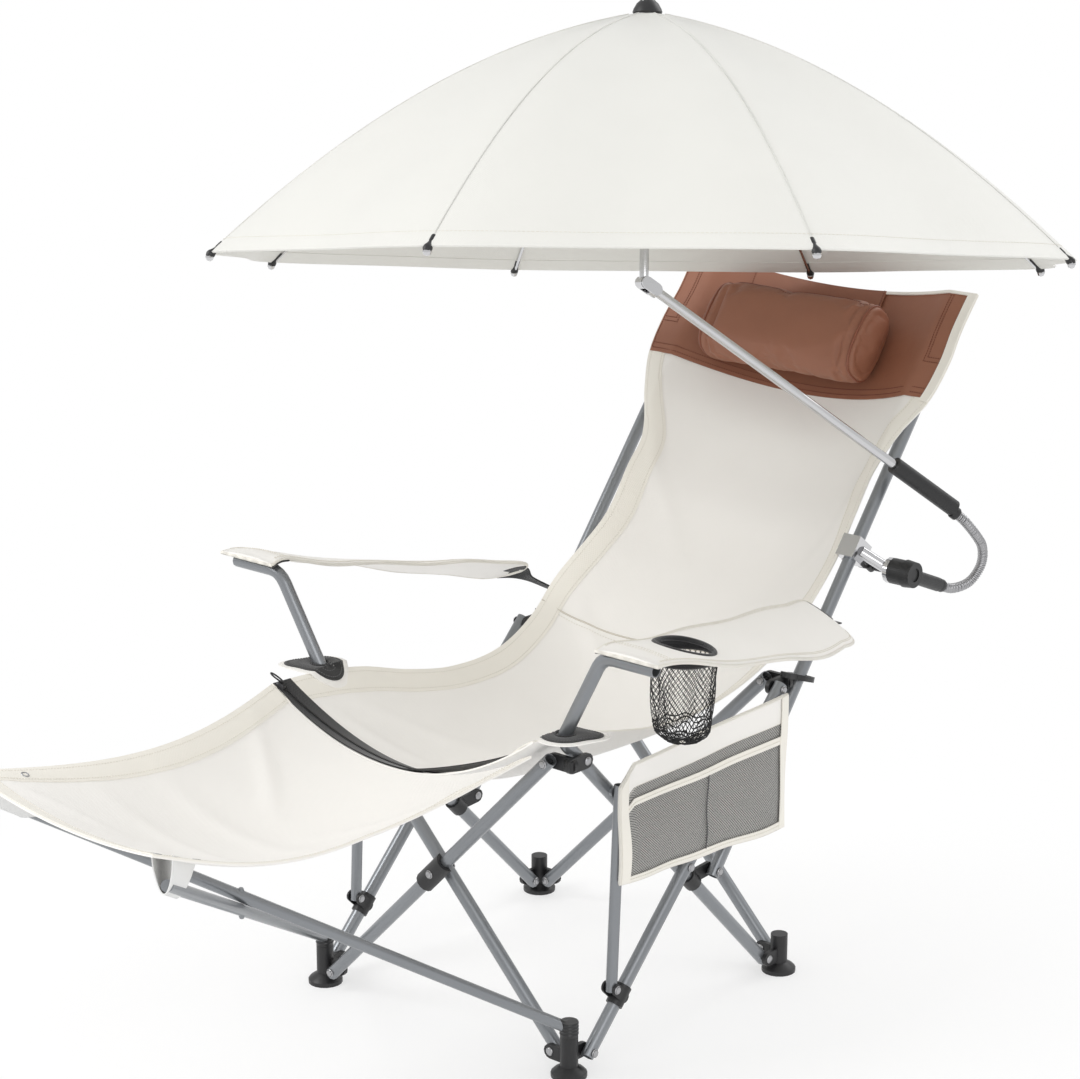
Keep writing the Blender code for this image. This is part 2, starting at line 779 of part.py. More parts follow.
def make_arm_tube(side, empty):
    """The inboard side tube: rear foot, front hub, arm post and arm rod in one bent tube."""
    name = f"arm_tube_{SIDE_NAMES[side]}"
    low = side_point(ARM_X, PIVOT_Y, PIVOT_HEIGHT, side)
    high = side_point(ARM_X, -PIVOT_Y, HUB_HEIGHT, side)
    route = [
        low + DOWN_ARM * TUBE_TAIL,
        high - DOWN_ARM * ARM_KINK,
        side_point(ARM_BEND_X, ARM_BEND_Y, ARM_HEIGHT, side),
        side_point(ARM_ROD_X, ARM_BEND_Y, ARM_HEIGHT, side),
    ]
    tube = pipe(name, rounded_route(route, BEND_RADIUS), TUBE_RADIUS, TUBE_WALL)
    for index, point in enumerate((low, high, crossing(ARM_X, side))):
        cut(tube, pin_hole(f"{name} hole {index}", point, X_AXIS, 2 * TUBE_RADIUS))
    outward = X_AXIS * side
    top = strut_top(side)
    washer = (TUBE_RADIUS - OVERRUN / 2, 2 * PLANE_OFFSET - THIN_TUBE_RADIUS - CLEARANCE)
    pivot = Vector((ARM_X * side, top.y, top.z))
    fuse(tube, half_rivet(f"{name} strut rivet", pivot, outward, -TUBE_RADIUS, washer))
    return finish(tube, GREY_STEEL, empty)


# Back posts, brackets, struts and sliders


def make_back_post(side, empty):
    """The leaning back post, riveted low to its bracket and free to slide in the hub's eye."""
    name = f"back_post_{SIDE_NAMES[side]}"
    along = post_direction()
    ear = ear_point(side)
    top = post_at(BACK_TOP, side)
    post = pipe(name, [ear - along * POST_TAIL, top], TUBE_RADIUS, TUBE_WALL)
    cut(post, pin_hole(f"{name} hole", ear, X_AXIS, 2 * TUBE_RADIUS))
    cap = rod(
        f"{name} cap",
        top - along * OVERRUN,
        top + along * POST_CAP_HEIGHT / 2,
        TUBE_RADIUS,
        TUBE_RADIUS * math.cos(math.pi / 4),
        TUBE_SIDES,
    )
    fuse(post, cap)
    return finish(post, GREY_STEEL, empty)


def make_post_bracket(side, empty):
    """The bracket on the arm tube, with the ear that the back post is riveted to."""
    name = f"post_bracket_{SIDE_NAMES[side]}"
    middle = crossing(ARM_X, side) + DOWN_ARM * COLLAR_DOWN
    half = DOWN_ARM * COLLAR_LENGTH / 2
    bracket = rod(name, middle - half, middle + half, COLLAR_RADIUS)
    outward = X_AXIS * side
    ear = ear_point(side)
    plane = -TUBE_RADIUS - CLEARANCE - EAR_THICKNESS / 2
    seat = ear + outward * plane
    root = Vector((seat.x, middle.y, middle.z))
    fuse(bracket, plate(f"{name} ear", root, seat, EAR_RADIUS, outward, EAR_THICKNESS))
    bore_half = DOWN_ARM * (COLLAR_LENGTH + OVERRUN)
    bore_radius = TUBE_RADIUS + CLEARANCE
    ends = (middle - bore_half, middle + bore_half)
    cut(bracket, rod(f"{name} bore", *ends, bore_radius, sides=BORE_SIDES))
    back = PIN_HEAD_SINK - TUBE_RADIUS - CLEARANCE - EAR_THICKNESS
    fuse(bracket, spool(f"{name} rivet", ear, outward, back, TUBE_RADIUS + CLEARANCE))
    return finish(bracket, BLACK_PLASTIC, empty)


def strut_top(side):
    return crossing(SIDE_X, side) - DOWN_ARM * STRUT_UP


def strut_foot(side):
    return crossing(SIDE_X, side) - UP_SIDE * STRUT_DOWN + SIDE_NORMAL * SLIDER_REACH


def make_strut(side, empty):
    """The short stay between arm tube and slider, with the far head of its top rivet."""
    name = f"strut_{SIDE_NAMES[side]}"
    low, high = strut_foot(side), strut_top(side)
    along = (high - low).normalized()
    ends = [low - along * STRUT_FOOT_TAIL, high + along * STRUT_TOP_TAIL]
    strut = pipe(name, ends, THIN_TUBE_RADIUS, THIN_TUBE_WALL)
    cut(strut, pin_hole(f"{name} hole", low, X_AXIS, 2 * THIN_TUBE_RADIUS))
    fuse(strut, far_head(f"{name} rivet head", high, X_AXIS * side, THIN_TUBE_RADIUS))
    return finish(strut, GREY_STEEL, empty)


def make_slider(side, empty):
    """The collar that slides on the side tube, with two cheeks for the strut."""
    name = f"strut_slider_{SIDE_NAMES[side]}"
    pivot = strut_foot(side)
    middle = pivot - SIDE_NORMAL * SLIDER_REACH
    half = UP_SIDE * SLIDER_LENGTH / 2
    slider = rod(name, middle - half, middle + half, SLIDER_RADIUS)
    offset = THIN_TUBE_RADIUS + CLEARANCE + CHEEK_THICKNESS / 2
    for face in (LEFT, RIGHT):
        shift = X_AXIS * (offset * face)
        cheek = plate(
            f"{name} cheek {face}",
            middle + shift,
            pivot + shift,
            CHEEK_RADIUS,
            X_AXIS,
            CHEEK_THICKNESS,
        )
        fuse(slider, cheek)
    bore_half = UP_SIDE * (SLIDER_LENGTH + OVERRUN)
    ends = (middle - bore_half, middle + bore_half)
    bore = rod(f"{name} bore", *ends, TUBE_RADIUS + CLEARANCE, sides=BORE_SIDES)
    cut(slider, bore)
    reach = THIN_TUBE_RADIUS + CLEARANCE + CHEEK_THICKNESS
    fuse(slider, spool(f"{name} rivet", pivot, X_AXIS * side, -reach, reach))
    return finish(slider, BLACK_PLASTIC, empty)


def make_front_saddle(empty):
    """The moulded saddle over the front crossing, with the rivet through both cross tubes."""
    y = -HALF_SPAN - PLANE_OFFSET
    middle = Vector((0, y, CROSS_HEIGHT))
    along = Vector((math.cos(OPEN_ANGLE), 0, math.sin(OPEN_ANGLE)))
    half = along * SADDLE_LENGTH / 2
    saddle = rod("front_saddle", middle - half, middle + half, SADDLE_RADIUS)
    long_half = half + along * OVERRUN
    ends = (middle - long_half, middle + long_half)
    bore = rod("saddle bore", *ends, TUBE_RADIUS + CLEARANCE, sides=BORE_SIDES)
    depth = 2 * SADDLE_RADIUS
    half_space = block(
        "saddle back",
        (SADDLE_LENGTH + 2 * OVERRUN, depth, depth + 2 * OVERRUN),
        axes_matrix(along, Y_AXIS, middle + Y_AXIS * (depth / 2 - SADDLE_BACK)),
    )
    cut(saddle, half_space, bore)
    front = SADDLE_RADIUS - PIN_HEAD_HEIGHT / 2
    back = -2 * PLANE_OFFSET - TUBE_RADIUS - CLEARANCE
    washer = (-PLANE_OFFSET - TUBE_GAP + CLEARANCE, -PLANE_OFFSET + TUBE_GAP - CLEARANCE)
    fuse(saddle, spool("saddle rivet", middle, -Y_AXIS, back, front, washer))
    return finish(saddle, BLACK_PLASTIC, empty)


# Foot rest


def rest_tip(side):
    """The free end of the foot rest tube that starts at a side's front foot."""
    lift = REST_CROSS_GAP / 2 / rest_cross_share() * side
    start = rest_start(side)
    reach = Vector((-math.sin(REST_ANGLE) * side, -math.cos(REST_ANGLE), 0)) * REST_REACH
    return start + reach + Z_AXIS * (REST_RISE + lift)


def rest_cross_share():
    """The share of the tube's length at which the two tubes cross."""
    return HALF_SPAN / (REST_REACH * math.sin(REST_ANGLE))


def rest_start(side):
    height = SOCKET_HEIGHT + CLEARANCE + KNOB_HEIGHT / 2
    return side_point(HALF_SPAN, -HALF_SPAN, height, side)


def make_rest_tube(side, empty):
    """A foot rest tube: its knob, its plug in the foot's socket, and its rivet head at the crossing."""
    name = f"footrest_tube_{SIDE_NAMES[side]}"
    start, tip = rest_start(side), rest_tip(side)
    tube = bar(name, [start, tip], THIN_TUBE_RADIUS)
    base = start - Z_AXIS * KNOB_HEIGHT / 2
    rim = KNOB_RADIUS - CLEARANCE * 3
    profile = [(0, KNOB_HEIGHT), (rim, KNOB_HEIGHT)]
    step = KNOB_HEIGHT / (2 * KNOB_RIBS + 1)
    for ring in range(KNOB_RIBS):
        at = KNOB_HEIGHT - (2 * ring + 1) * step
        profile += [(KNOB_RADIUS, at), (rim, at - step)]
    profile += [(rim, 0), (PLUG_RADIUS, 0), (PLUG_RADIUS, SOCKET_FLOOR + OVERRUN - SOCKET_HEIGHT)]
    profile.append((0, SOCKET_FLOOR + OVERRUN - SOCKET_HEIGHT))
    fuse(tube, turned(f"{name} knob", profile, Matrix.Translation(base)))
    point = start.lerp(tip, rest_cross_share())
    fuse(tube, far_head(f"{name} rivet head", point, Z_AXIS * side, THIN_TUBE_RADIUS))
    return finish(tube, GREY_STEEL, empty)


def spread(count):
    """count even steps from -1 to 1."""
    return [2 * index / (count - 1) - 1 for index in range(count)]


def make_footrest_sling(empty):
    """The cloth of the foot rest, from the seat's front edge to its two corner pockets."""
    tip_high = max(rest_tip(LEFT).z, rest_tip(RIGHT).z)
    front_y = rest_tip(LEFT).y - REST_EDGE_OVERHANG
    front_half = abs(rest_tip(LEFT).x) + REST_EDGE_OVERHANG
    front_height = tip_high + 2 * THIN_TUBE_RADIUS + REST_CLOTH + REST_TIP_GAP
    seat_y, seat_half, seat_height, seat_drop = (HALF_SPAN * share for share in SEAT_ROW_SHARES[0])
    rear_y = seat_y - REST_CLOTH
    rows = []
    for step in range(REST_ROWS):
        share = step / (REST_ROWS - 1)
        belly = math.sin(math.pi * share)
        half = seat_half + (front_half - seat_half) * share
        half -= (half - REST_WAIST) * belly
        skew = SEAT_SKEW * (1 - share) - REST_FRONT_SKEW * share
        drop = seat_drop * (1 - share) + REST_FRONT_SAG * share + REST_MIDDLE_SAG * belly
        row = []
        for u in spread(15):
            sag = (REST_LEFT_SAG + REST_RIGHT_SAG + (REST_LEFT_SAG - REST_RIGHT_SAG) * u) / 2
            edge = seat_height + (front_height - seat_height) * share - sag * belly
            y = rear_y + (front_y - rear_y) * share + skew * u
            row.append(Vector((u * half, y, edge - drop * (1 - u * u))))
        rows.append(row)
    return finish(sheet("footrest_sling", rows, REST_CLOTH), CREAM_CLOTH, empty)


# Seat, pillow, arm rests, cup holder and organizer

def front_of_back():
    """The direction that the back rest faces."""
    return X_AXIS.cross(post_direction()).normalized()


def sling_point(row, skew, u):
    """A point of a seat row at u from -1 to 1, sagging to the middle."""
    y, half, z, drop = (HALF_SPAN * share for share in row)
    return Vector((u * half, y + skew * u, z - drop * (1 - u * u)))


def back_point(row, u):
    """A point of a back row, sagging square to the posts."""
    height, half, drop, before = (HALF_SPAN * share for share in row)
    post = post_at(height, LEFT)
    edge = Vector((u * half, post.y, height)) + front_of_back() * before
    inside = min(half, HALF_SPAN - TUBE_RADIUS - 2 * SLING_CLOTH)
    sag = max(0, 1 - (u * half / inside) ** 2)
    return edge - front_of_back() * (drop * sag)


def make_seat_sling(empty):
    """The one sheet of seat and back."""
    level = (0,) * (len(SEAT_ROW_SHARES) - len(SEAT_SKEW_SHARES))
    skews = [SEAT_SKEW * share for share in SEAT_SKEW_SHARES + level]
    rows = [[sling_point(row, skew, u) for u in spread(15)] for row, skew in zip(SEAT_ROW_SHARES, skews)]
    rows += [[back_point(row, u) for u in spread(15)] for row in BACK_ROW_SHARES]
    return finish(sheet("seat_sling", rows, SLING_CLOTH), CREAM_CLOTH, empty)


def make_pillow(empty):
    """The stuffed roll under the head, hung on the back's brown band."""
    along = post_direction()
    front = front_of_back()
    low, high = BACK_ROW_SHARES[-3:-1]
    reach = (1 - PILLOW_END_SHARE) * PILLOW_LENGTH / 2 / (low[1] * HALF_SPAN)
    middle = back_point(low, reach).lerp(back_point(high, reach), PILLOW_ROW_SHARE)
    middle += front * (PILLOW_FLATNESS + SLING_CLOTH / 2 + PILLOW_GAP)
    middle.x = 0
    rows = []
    for u in spread(11):
        past = max(abs(u) - 1 + PILLOW_END_SHARE, 0) / PILLOW_END_SHARE
        end = 1 - PILLOW_CROWN_SHARE * past
        ring = []
        for step in range(PILLOW_STEPS):
            angle = 2 * math.pi * step / PILLOW_STEPS
            out = along * math.cos(angle) * PILLOW_RADIUS * end
            out += front * math.sin(angle) * PILLOW_FLATNESS * end
            ring.append(middle + out + X_AXIS * (u * PILLOW_LENGTH / 2))
        rows.append(ring)
    bm = bmesh.new()
    rings = [[bm.verts.new(point) for point in ring] for ring in rows]
    for low, high in zip(rings, rings[1:]):
        for index in range(PILLOW_STEPS):
            after = (index + 1) % PILLOW_STEPS
            bm.faces.new((low[index], low[after], high[after], high[index]))
    bm.faces.new(rings[0])
    bm.faces.new(rings[-1])
    return finish(from_bmesh("head_pillow", bm), BROWN_CLOTH, empty)


def make_armrest(side, empty):
    """The cloth strip from the arm rod to the strap round the back post."""
    name = f"armrest_{SIDE_NAMES[side]}"
    rod_top = ARM_HEIGHT + TUBE_RADIUS + CLEARANCE + ARM_CLOTH / 2
    front_x = (ARM_BEND_X + ARM_ROD_X) / 2 + ARM_FRONT_OVERHANG / 2
    strap_height = ARM_REAR_HEIGHT - ARM_STRAP_LENGTH / 2
    strap = post_at(strap_height, LEFT)
    stations = [
        (front_x, ARM_BEND_Y - ARM_FRONT_OVERHANG, rod_top, ARM_FRONT_WIDTH),
        (front_x, ARM_BEND_Y + ARM_FRONT_OVERHANG, rod_top, ARM_FRONT_WIDTH),
    ]
    shares = zip(ARM_STATION_SHARES, ARM_SINK_SHARES, ARM_WIDTH_SHARES, ARM_BOW_SHARES)
    for along, sink, width, bow in shares:
        x = front_x + (ARM_REAR_X - front_x) * along + ARM_BOW * bow
        y = ARM_BEND_Y + (ARM_REAR_Y - ARM_BEND_Y) * along
        z = rod_top + (ARM_REAR_HEIGHT - rod_top) * along - ARM_SINK * sink
        stations.append((x, y, z, ARM_FRONT_WIDTH * width))
    strap_x = HALF_SPAN + TUBE_RADIUS + ARM_STRAP_WIDTH / 2 + 2 * CLEARANCE
    lobe_y = ARM_REAR_Y + ARM_STRAP_WIDTH
    stations.append(((ARM_REAR_X + strap_x) / 2, lobe_y, ARM_REAR_HEIGHT - ARM_SINK, ARM_STRAP_WIDTH))
    stations.append((strap_x, strap.y, strap.z, ARM_STRAP_WIDTH))
    rows = []
    for x, y, z, width in stations:
        row = [side_point(x + u * width / 2, y, z, side) for u in spread(5)]
        rows.append(row)
    return finish(sheet(name, rows, ARM_CLOTH), CREAM_CLOTH, empty)


def make_cup_holder(empty):
    """The net cup under the left arm rest: a tapered open cup with a rim."""
    top = ARM_HEIGHT - CUP_DROP
    profile = [
        (0, top - CUP_DEPTH + CUP_WALL),
        (CUP_BOTTOM_RADIUS - CUP_WALL, top - CUP_DEPTH + CUP_WALL),
        (CUP_RADIUS - CUP_WALL, top),
        (CUP_RADIUS + CUP_RIM, top),
        (CUP_RADIUS + CUP_RIM, top - 2 * CUP_RIM),
        (CUP_RADIUS, top - 2 * CUP_RIM),
        (CUP_BOTTOM_RADIUS, top - CUP_DEPTH),
        (0, top - CUP_DEPTH),
    ]
    cup = turned("cup_holder", profile, Matrix.Translation((CUP_X, CUP_Y, 0)), 24)
    return finish(cup, BLACK_NET, empty)


def make_organizer(empty):
    """The pocketed panel at the left side, its pockets bulging."""
    rows = []
    for step in range(9):
        share = step / 8
        row = []
        for u in spread(13):
            along = (u + 1) / 2
            y = ORGANIZER_FRONT_Y + (ORGANIZER_REAR_Y - ORGANIZER_FRONT_Y) * along
            top = ORGANIZER_TOP_FRONT + (ORGANIZER_TOP_REAR - ORGANIZER_TOP_FRONT) * along
            low = ORGANIZER_BOTTOM_FRONT + (ORGANIZER_BOTTOM_REAR - ORGANIZER_BOTTOM_FRONT) * along
            down = (share - POCKET_TOP_SHARE) / (1 - POCKET_TOP_SHARE)
            pocket = abs(math.sin(2 * math.pi * along)) * max(0, math.sin(math.pi * down))
            swell = POCKET_FLAT_SHARE + (1 - POCKET_FLAT_SHARE) * pocket
            x = ORGANIZER_X + POCKET_BULGE * swell * (1 if down > 0 else PANEL_TOP_SHARE)
            row.append(Vector((x, y, top + (low - top) * share)))
        rows.append(row)
    return finish(sheet("side_organizer", rows, ORGANIZER_CLOTH), CREAM_CLOTH, empty)


# Umbrella clamp, gooseneck and pole


def clamp_frame():
    """The clamp's place on the post: its middle, the post's direction and the way outward."""
    middle = post_at(CLAMP_HEIGHT, LEFT)
    return middle, post_direction()


def make_clamp(empty):
    """The jaw that grips the back post, slotted at its inner side."""
    middle, along = clamp_frame()
    place = axes_matrix(X_AXIS, X_AXIS.cross(along), middle)
    jaw = block("clamp_jaw", (JAW_WIDTH, JAW_DEPTH, JAW_LENGTH), place)
    half = along * (JAW_LENGTH / 2 + OVERRUN)
    bore = rod("jaw bore", middle - half, middle + half, TUBE_RADIUS + CLEARANCE, sides=BORE_SIDES)
    gap = block(
        "jaw slot",
        (JAW_WIDTH, JAW_SLOT, JAW_LENGTH + 2 * OVERRUN),
        place @ Matrix.Translation((-JAW_WIDTH / 2, 0, 0)),
    )
    swivel = swivel_centre()
    face = swivel - X_AXIS * (SWIVEL_THICKNESS / 2 + CLEARANCE)
    back = face - X_AXIS * JAW_DISC_THICKNESS
    arm_start = middle + X_AXIS * (JAW_WIDTH / 2 - OVERRUN / 2)
    arm = rod("jaw arm", arm_start, back, JAW_ARM_RADIUS)
    disc = rod("jaw disc", back, face, SWIVEL_RADIUS)
    fuse(jaw, arm, disc)
    screw_axis = X_AXIS.cross(along)
    hole_start = middle - screw_axis * (JAW_DEPTH / 2 + OVERRUN)
    hole = rod("jaw screw hole", hole_start, middle, SCREW_RADIUS + CLEARANCE)
    cut(jaw, bore, gap, hole)
    return finish(jaw, BLACK_PLASTIC, empty)


def clamp_screw_axis():
    return X_AXIS.cross(clamp_frame()[1])


def make_clamp_screw(empty):
    """The clamp's screw with its wing handle."""
    middle, along = clamp_frame()
    axis = clamp_screw_axis()
    tip = middle - axis * (TUBE_RADIUS + 2 * CLEARANCE)
    head = tip - axis * SCREW_LENGTH
    screw = rod("clamp_screw", tip, head, SCREW_RADIUS)
    half = X_AXIS * HANDLE_LENGTH / 2
    wing = bar("screw wing", [head - half, head + half], HANDLE_RADIUS)
    hub_radius = HANDLE_RADIUS * HANDLE_HUB_SHARE
    hub = rod("screw hub", head + axis * HANDLE_RADIUS * 2, head - axis * HANDLE_RADIUS, hub_radius)
    fuse(screw, wing, hub)
    return finish(screw, BLACK_PLASTIC, empty)


def swivel_centre():
    return Vector((SWIVEL_X, SWIVEL_Y, SWIVEL_HEIGHT))


def knuckle_point():
    up = CANOPY_LEAN.normalized()
    return CANOPY_RIM - up * KNUCKLE_DROP


def pole_direction():
    """The pole's direction, from the grip up to the tilt knuckle."""
    return (knuckle_point() - GRIP_TOP).normalized()


def grip_bottom():
    return GRIP_TOP - pole_direction() * GRIP_LENGTH


def neck_points(count):
    end = grip_bottom()
    return smooth_route([*NECK_ROUTE, end - pole_direction() * 2 * GRIP_RADIUS, end], count)


def make_swivel(empty):
    """The toothed swivel block with the sleeve that holds the gooseneck's lower end."""
    centre = swivel_centre()
    half = X_AXIS * SWIVEL_THICKNESS / 2
    swivel = rod("neck_swivel", centre - half, centre + half, SWIVEL_RADIUS)
    toward = (NECK_START - centre).normalized()
    sleeve = rod("swivel sleeve", centre, NECK_START - toward * CLEARANCE, NECK_SLEEVE_RADIUS)
    fuse(swivel, sleeve)
    hole = rod("swivel hole", centre - 2 * half, centre + 2 * half, SCREW_RADIUS + CLEARANCE)
    cut(swivel, hole)
    return finish(swivel, BLACK_PLASTIC, empty)


def make_swivel_knob(empty):
    """The fluted knob that locks the swivel."""
    centre = swivel_centre()
    start = centre + X_AXIS * (SWIVEL_THICKNESS / 2 + CLEARANCE)
    end = start + X_AXIS * KNOB_DISC_THICKNESS
    knob = rod("swivel_knob", start, end, KNOB_DISC_RADIUS, KNOB_DISC_RADIUS * KNOB_TAPER_SHARE, 24)
    inner = centre - X_AXIS * SWIVEL_THICKNESS / 2
    shank = rod("knob shank", start + X_AXIS * OVERRUN, inner, SCREW_RADIUS)
    fuse(knob, shank)
    dish = rod("knob dish", end - X_AXIS * OVERRUN / 2, end + X_AXIS * OVERRUN, KNOB_DISC_RADIUS / 2)
    cut(knob, dish)
    return finish(knob, BLACK_PLASTIC, empty)


def make_gooseneck(empty):
    """The ribbed bending neck with its bore."""
    count = 2 * NECK_RIBS + 1
    points = neck_points(count)
    start_gap = (points[1] - points[0]).normalized() * CLEARANCE
    points[0] = points[0] + start_gap
    points[-1] = points[-1] - pole_direction() * CLEARANCE
    radii = [1 if index % 2 else NECK_GROOVE_SHARE for index in range(count)]
    neck = bar("gooseneck", points, NECK_RADIUS, 8, radii)
    core = neck_points(NECK_RIBS // 2)
    core[0] = core[0] + (core[0] - core[1]).normalized() * OVERRUN
    core[-1] = core[-1] + pole_direction() * OVERRUN
    cut(neck, bar("neck bore", core, NECK_BORE, 8))
    # The exact solver drops this many-ribbed solid, so its bore is cut by the manifold one
    neck.modifiers[-1].solver = "MANIFOLD"
    return finish(neck, CHROME, empty)


def make_grip(empty):
    """The black sleeve that takes the pole."""
    top, bottom, along = GRIP_TOP, grip_bottom(), pole_direction()
    grip = rod("neck_grip", bottom, top, GRIP_RADIUS, sides=20)
    low, high = top - along * POLE_GRIP_DEPTH, top + along * OVERRUN
    bore = rod("grip bore", low, high, POLE_RADIUS + CLEARANCE, sides=BORE_SIDES)
    cut(grip, bore)
    return finish(grip, BLACK_PLASTIC, empty)


def make_pole(empty):
    """The chrome pole from the grip to the tilt knuckle, with the knuckle's lower fork."""
    low = GRIP_TOP - pole_direction() * (POLE_GRIP_DEPTH - CLEARANCE)
    high = knuckle_point() - pole_direction() * (KNUCKLE_RADIUS + CLEARANCE)
    pole = pipe("umbrella_pole", [low, high], POLE_RADIUS, POLE_WALL)
    axis = tilt_axis()
    offset = KNUCKLE_HALF + CLEARANCE + CHEEK_THICKNESS / 2
    for face in (LEFT, RIGHT):
        shift = axis * (offset * face)
        base = high - pole_direction() * KNUCKLE_RADIUS / 2
        ends = (base + shift, knuckle_point() + shift)
        cheek = plate(f"pole cheek {face}", *ends, KNUCKLE_RADIUS * CHEEK_SHARE, axis, CHEEK_THICKNESS)
        fuse(pole, cheek)
    half = axis * (KNUCKLE_HALF + CHEEK_THICKNESS)
    foot, face = (high - pole_direction() * back for back in (KNUCKLE_RADIUS, CLEARANCE))
    collar = rod("pole collar", foot, face, KNUCKLE_RADIUS * POLE_COLLAR_SHARE)
    pin = rod("pole pin", knuckle_point() - half, knuckle_point() + half, PIN_RADIUS, sides=PIN_SIDES)
    fuse(pole, collar, pin)
    return finish(pole, CHROME, empty)


def tilt_axis():
    """The axis of the tilt knuckle, square to pole and shaft."""
    return pole_direction().cross(CANOPY_LEAN.normalized()).normalized()


# Canopy


def canopy_matrix():
    """Local Z up the shaft, local X along the first rib, origin at the rim's middle."""
    up = CANOPY_LEAN.normalized()
    first = Y_AXIS.cross(up).normalized()
    second = up.cross(first)
    x_unit = first * math.cos(CANOPY_TURN) + second * math.sin(CANOPY_TURN)
    return axes_matrix(x_unit, up.cross(x_unit), CANOPY_RIM)


def canopy_height(share):
    """The dome's height above the rim at a share of its radius."""
    curve = CANOPY_CURVE_SHARE
    return CANOPY_RISE * ((1 - curve) * (1 - share) + curve * (1 - share * share))


def rib_angle(index):
    return 2 * math.pi * index / CANOPY_RIBS


def in_canopy(radius, height, angle, sideways=0):
    """A world point from a radius, height and angle about the shaft."""
    out = Vector((math.cos(angle), math.sin(angle), 0))
    across = Vector((-math.sin(angle), math.cos(angle), 0))
    return canopy_matrix() @ (out * radius + across * sideways + Z_AXIS * height)


def canopy_radii():
    """The radii of the cloth's rings and of the ribs' bends."""
    hole = CROWN_RADIUS * CANOPY_HOLE_SHARE
    return [hole + (CANOPY_RADIUS - hole) * ring / CANOPY_RINGS for ring in range(CANOPY_RINGS + 1)]


def rib_height(radius):
    """The rib's height, just under the cloth."""
    share = min(radius / CANOPY_RADIUS, 1)
    curve = CANOPY_CURVE_SHARE
    slope = CANOPY_RISE / CANOPY_RADIUS * (1 - curve + 2 * curve * share)
    depth = CANOPY_CLOTH / 2 + RIB_RADIUS + CLEARANCE
    return canopy_height(share) - depth * math.hypot(1, slope)


def stretcher_joint():
    """The radius along the rib at which its stretcher is hinged."""
    low, high = RIB_HINGE_RADIUS, CANOPY_RADIUS
    hinge = Vector((RIB_HINGE_RADIUS, rib_height(RIB_HINGE_RADIUS)))
    for _ in range(40):
        middle = (low + high) / 2
        reach = (Vector((middle, rib_height(middle))) - hinge).length
        low, high = (middle, high) if reach < STRETCHER_LENGTH else (low, middle)
    return (low + high) / 2


def runner_height():
    """The runner's pin height: as far below the rib hinge as an isosceles pair puts it."""
    joint = stretcher_joint()
    return 2 * rib_height(joint) - rib_height(RIB_HINGE_RADIUS) - 2 * STRETCHER_RADIUS


def make_shaft(empty):
    """The upper shaft with its crown, finial and the knuckle's upper eye."""
    place = canopy_matrix()
    top = place @ Vector((0, 0, CANOPY_RISE))
    low = knuckle_point()
    up = CANOPY_LEAN.normalized()
    shaft = rod("canopy_shaft", low + up * KNUCKLE_RADIUS / 2, top, SHAFT_RADIUS)
    crown_low = rib_height(RIB_HINGE_RADIUS) - RIB_RADIUS
    seat = canopy_height(canopy_radii()[0] / CANOPY_RADIUS) + CANOPY_CLOTH / 2 + CLEARANCE
    crown = turned(
        "crown",
        [
            (0, CANOPY_RISE + CROWN_HEIGHT / 2),
            (CROWN_RADIUS * CROWN_TOP_SHARE, CANOPY_RISE + CROWN_HEIGHT / 2),
            (CROWN_RADIUS, seat),
            (RIB_HINGE_RADIUS * CROWN_NECK_SHARE, seat),
            (RIB_HINGE_RADIUS * CROWN_NECK_SHARE, crown_low + RIB_RADIUS * 2),
            (RIB_HINGE_RADIUS * CROWN_FOOT_SHARE, crown_low + RIB_RADIUS * 2),
            (RIB_HINGE_RADIUS * CROWN_FOOT_SHARE, crown_low - RIB_RADIUS * 2),
            (0, crown_low - RIB_RADIUS * 2),
        ],
        place,
    )
    finial = ball("finial", place @ Vector((0, 0, CANOPY_RISE + CROWN_HEIGHT)), FINIAL_RADIUS, 12)
    axis = tilt_axis()
    half = axis * KNUCKLE_HALF
    eye = rod("shaft eye", low - half, low + half, KNUCKLE_RADIUS * SHAFT_EYE_SHARE)
    hole = rod("shaft eye hole", low - 2 * half, low + 2 * half, PIN_RADIUS + CLEARANCE, sides=PIN_SIDES)
    fuse(shaft, crown, finial, eye)
    cut(shaft, hole)
    return finish(shaft, CHROME, empty)


def make_runner(empty):
    """The runner that slides on the shaft and spreads the stretchers."""
    place = canopy_matrix()
    height = runner_height()
    profile = [
        (SHAFT_RADIUS + CLEARANCE * 2, height + RUNNER_LENGTH / 4),
        (RUNNER_RADIUS, height + RUNNER_LENGTH / 4),
        (RUNNER_RADIUS, height - RUNNER_LENGTH * 3 / 4),
        (SHAFT_RADIUS + CLEARANCE * 2, height - RUNNER_LENGTH * 3 / 4),
        (SHAFT_RADIUS + CLEARANCE * 2, height + RUNNER_LENGTH / 4),
    ]
    runner = turned("canopy_runner", profile, place)
    return finish(runner, BLACK_PLASTIC, empty)


def make_rib(index, empty):
    """A bowed rib with the ball at its tip."""
    name = f"canopy_rib_{index + 1}"
    angle = rib_angle(index)
    radii = [RIB_HINGE_RADIUS, *canopy_radii()[1:]]
    points = [in_canopy(radius, rib_height(radius), angle) for radius in radii]
    rib = bar(name, points, RIB_RADIUS, 6)
    tip = points[-1] + (points[-1] - points[-2]).normalized() * RIB_TIP_RADIUS * RIB_TIP_SHARE
    fuse(rib, ball(f"{name} ball", tip, RIB_TIP_RADIUS, 8))
    return finish(rib, CHROME, empty)


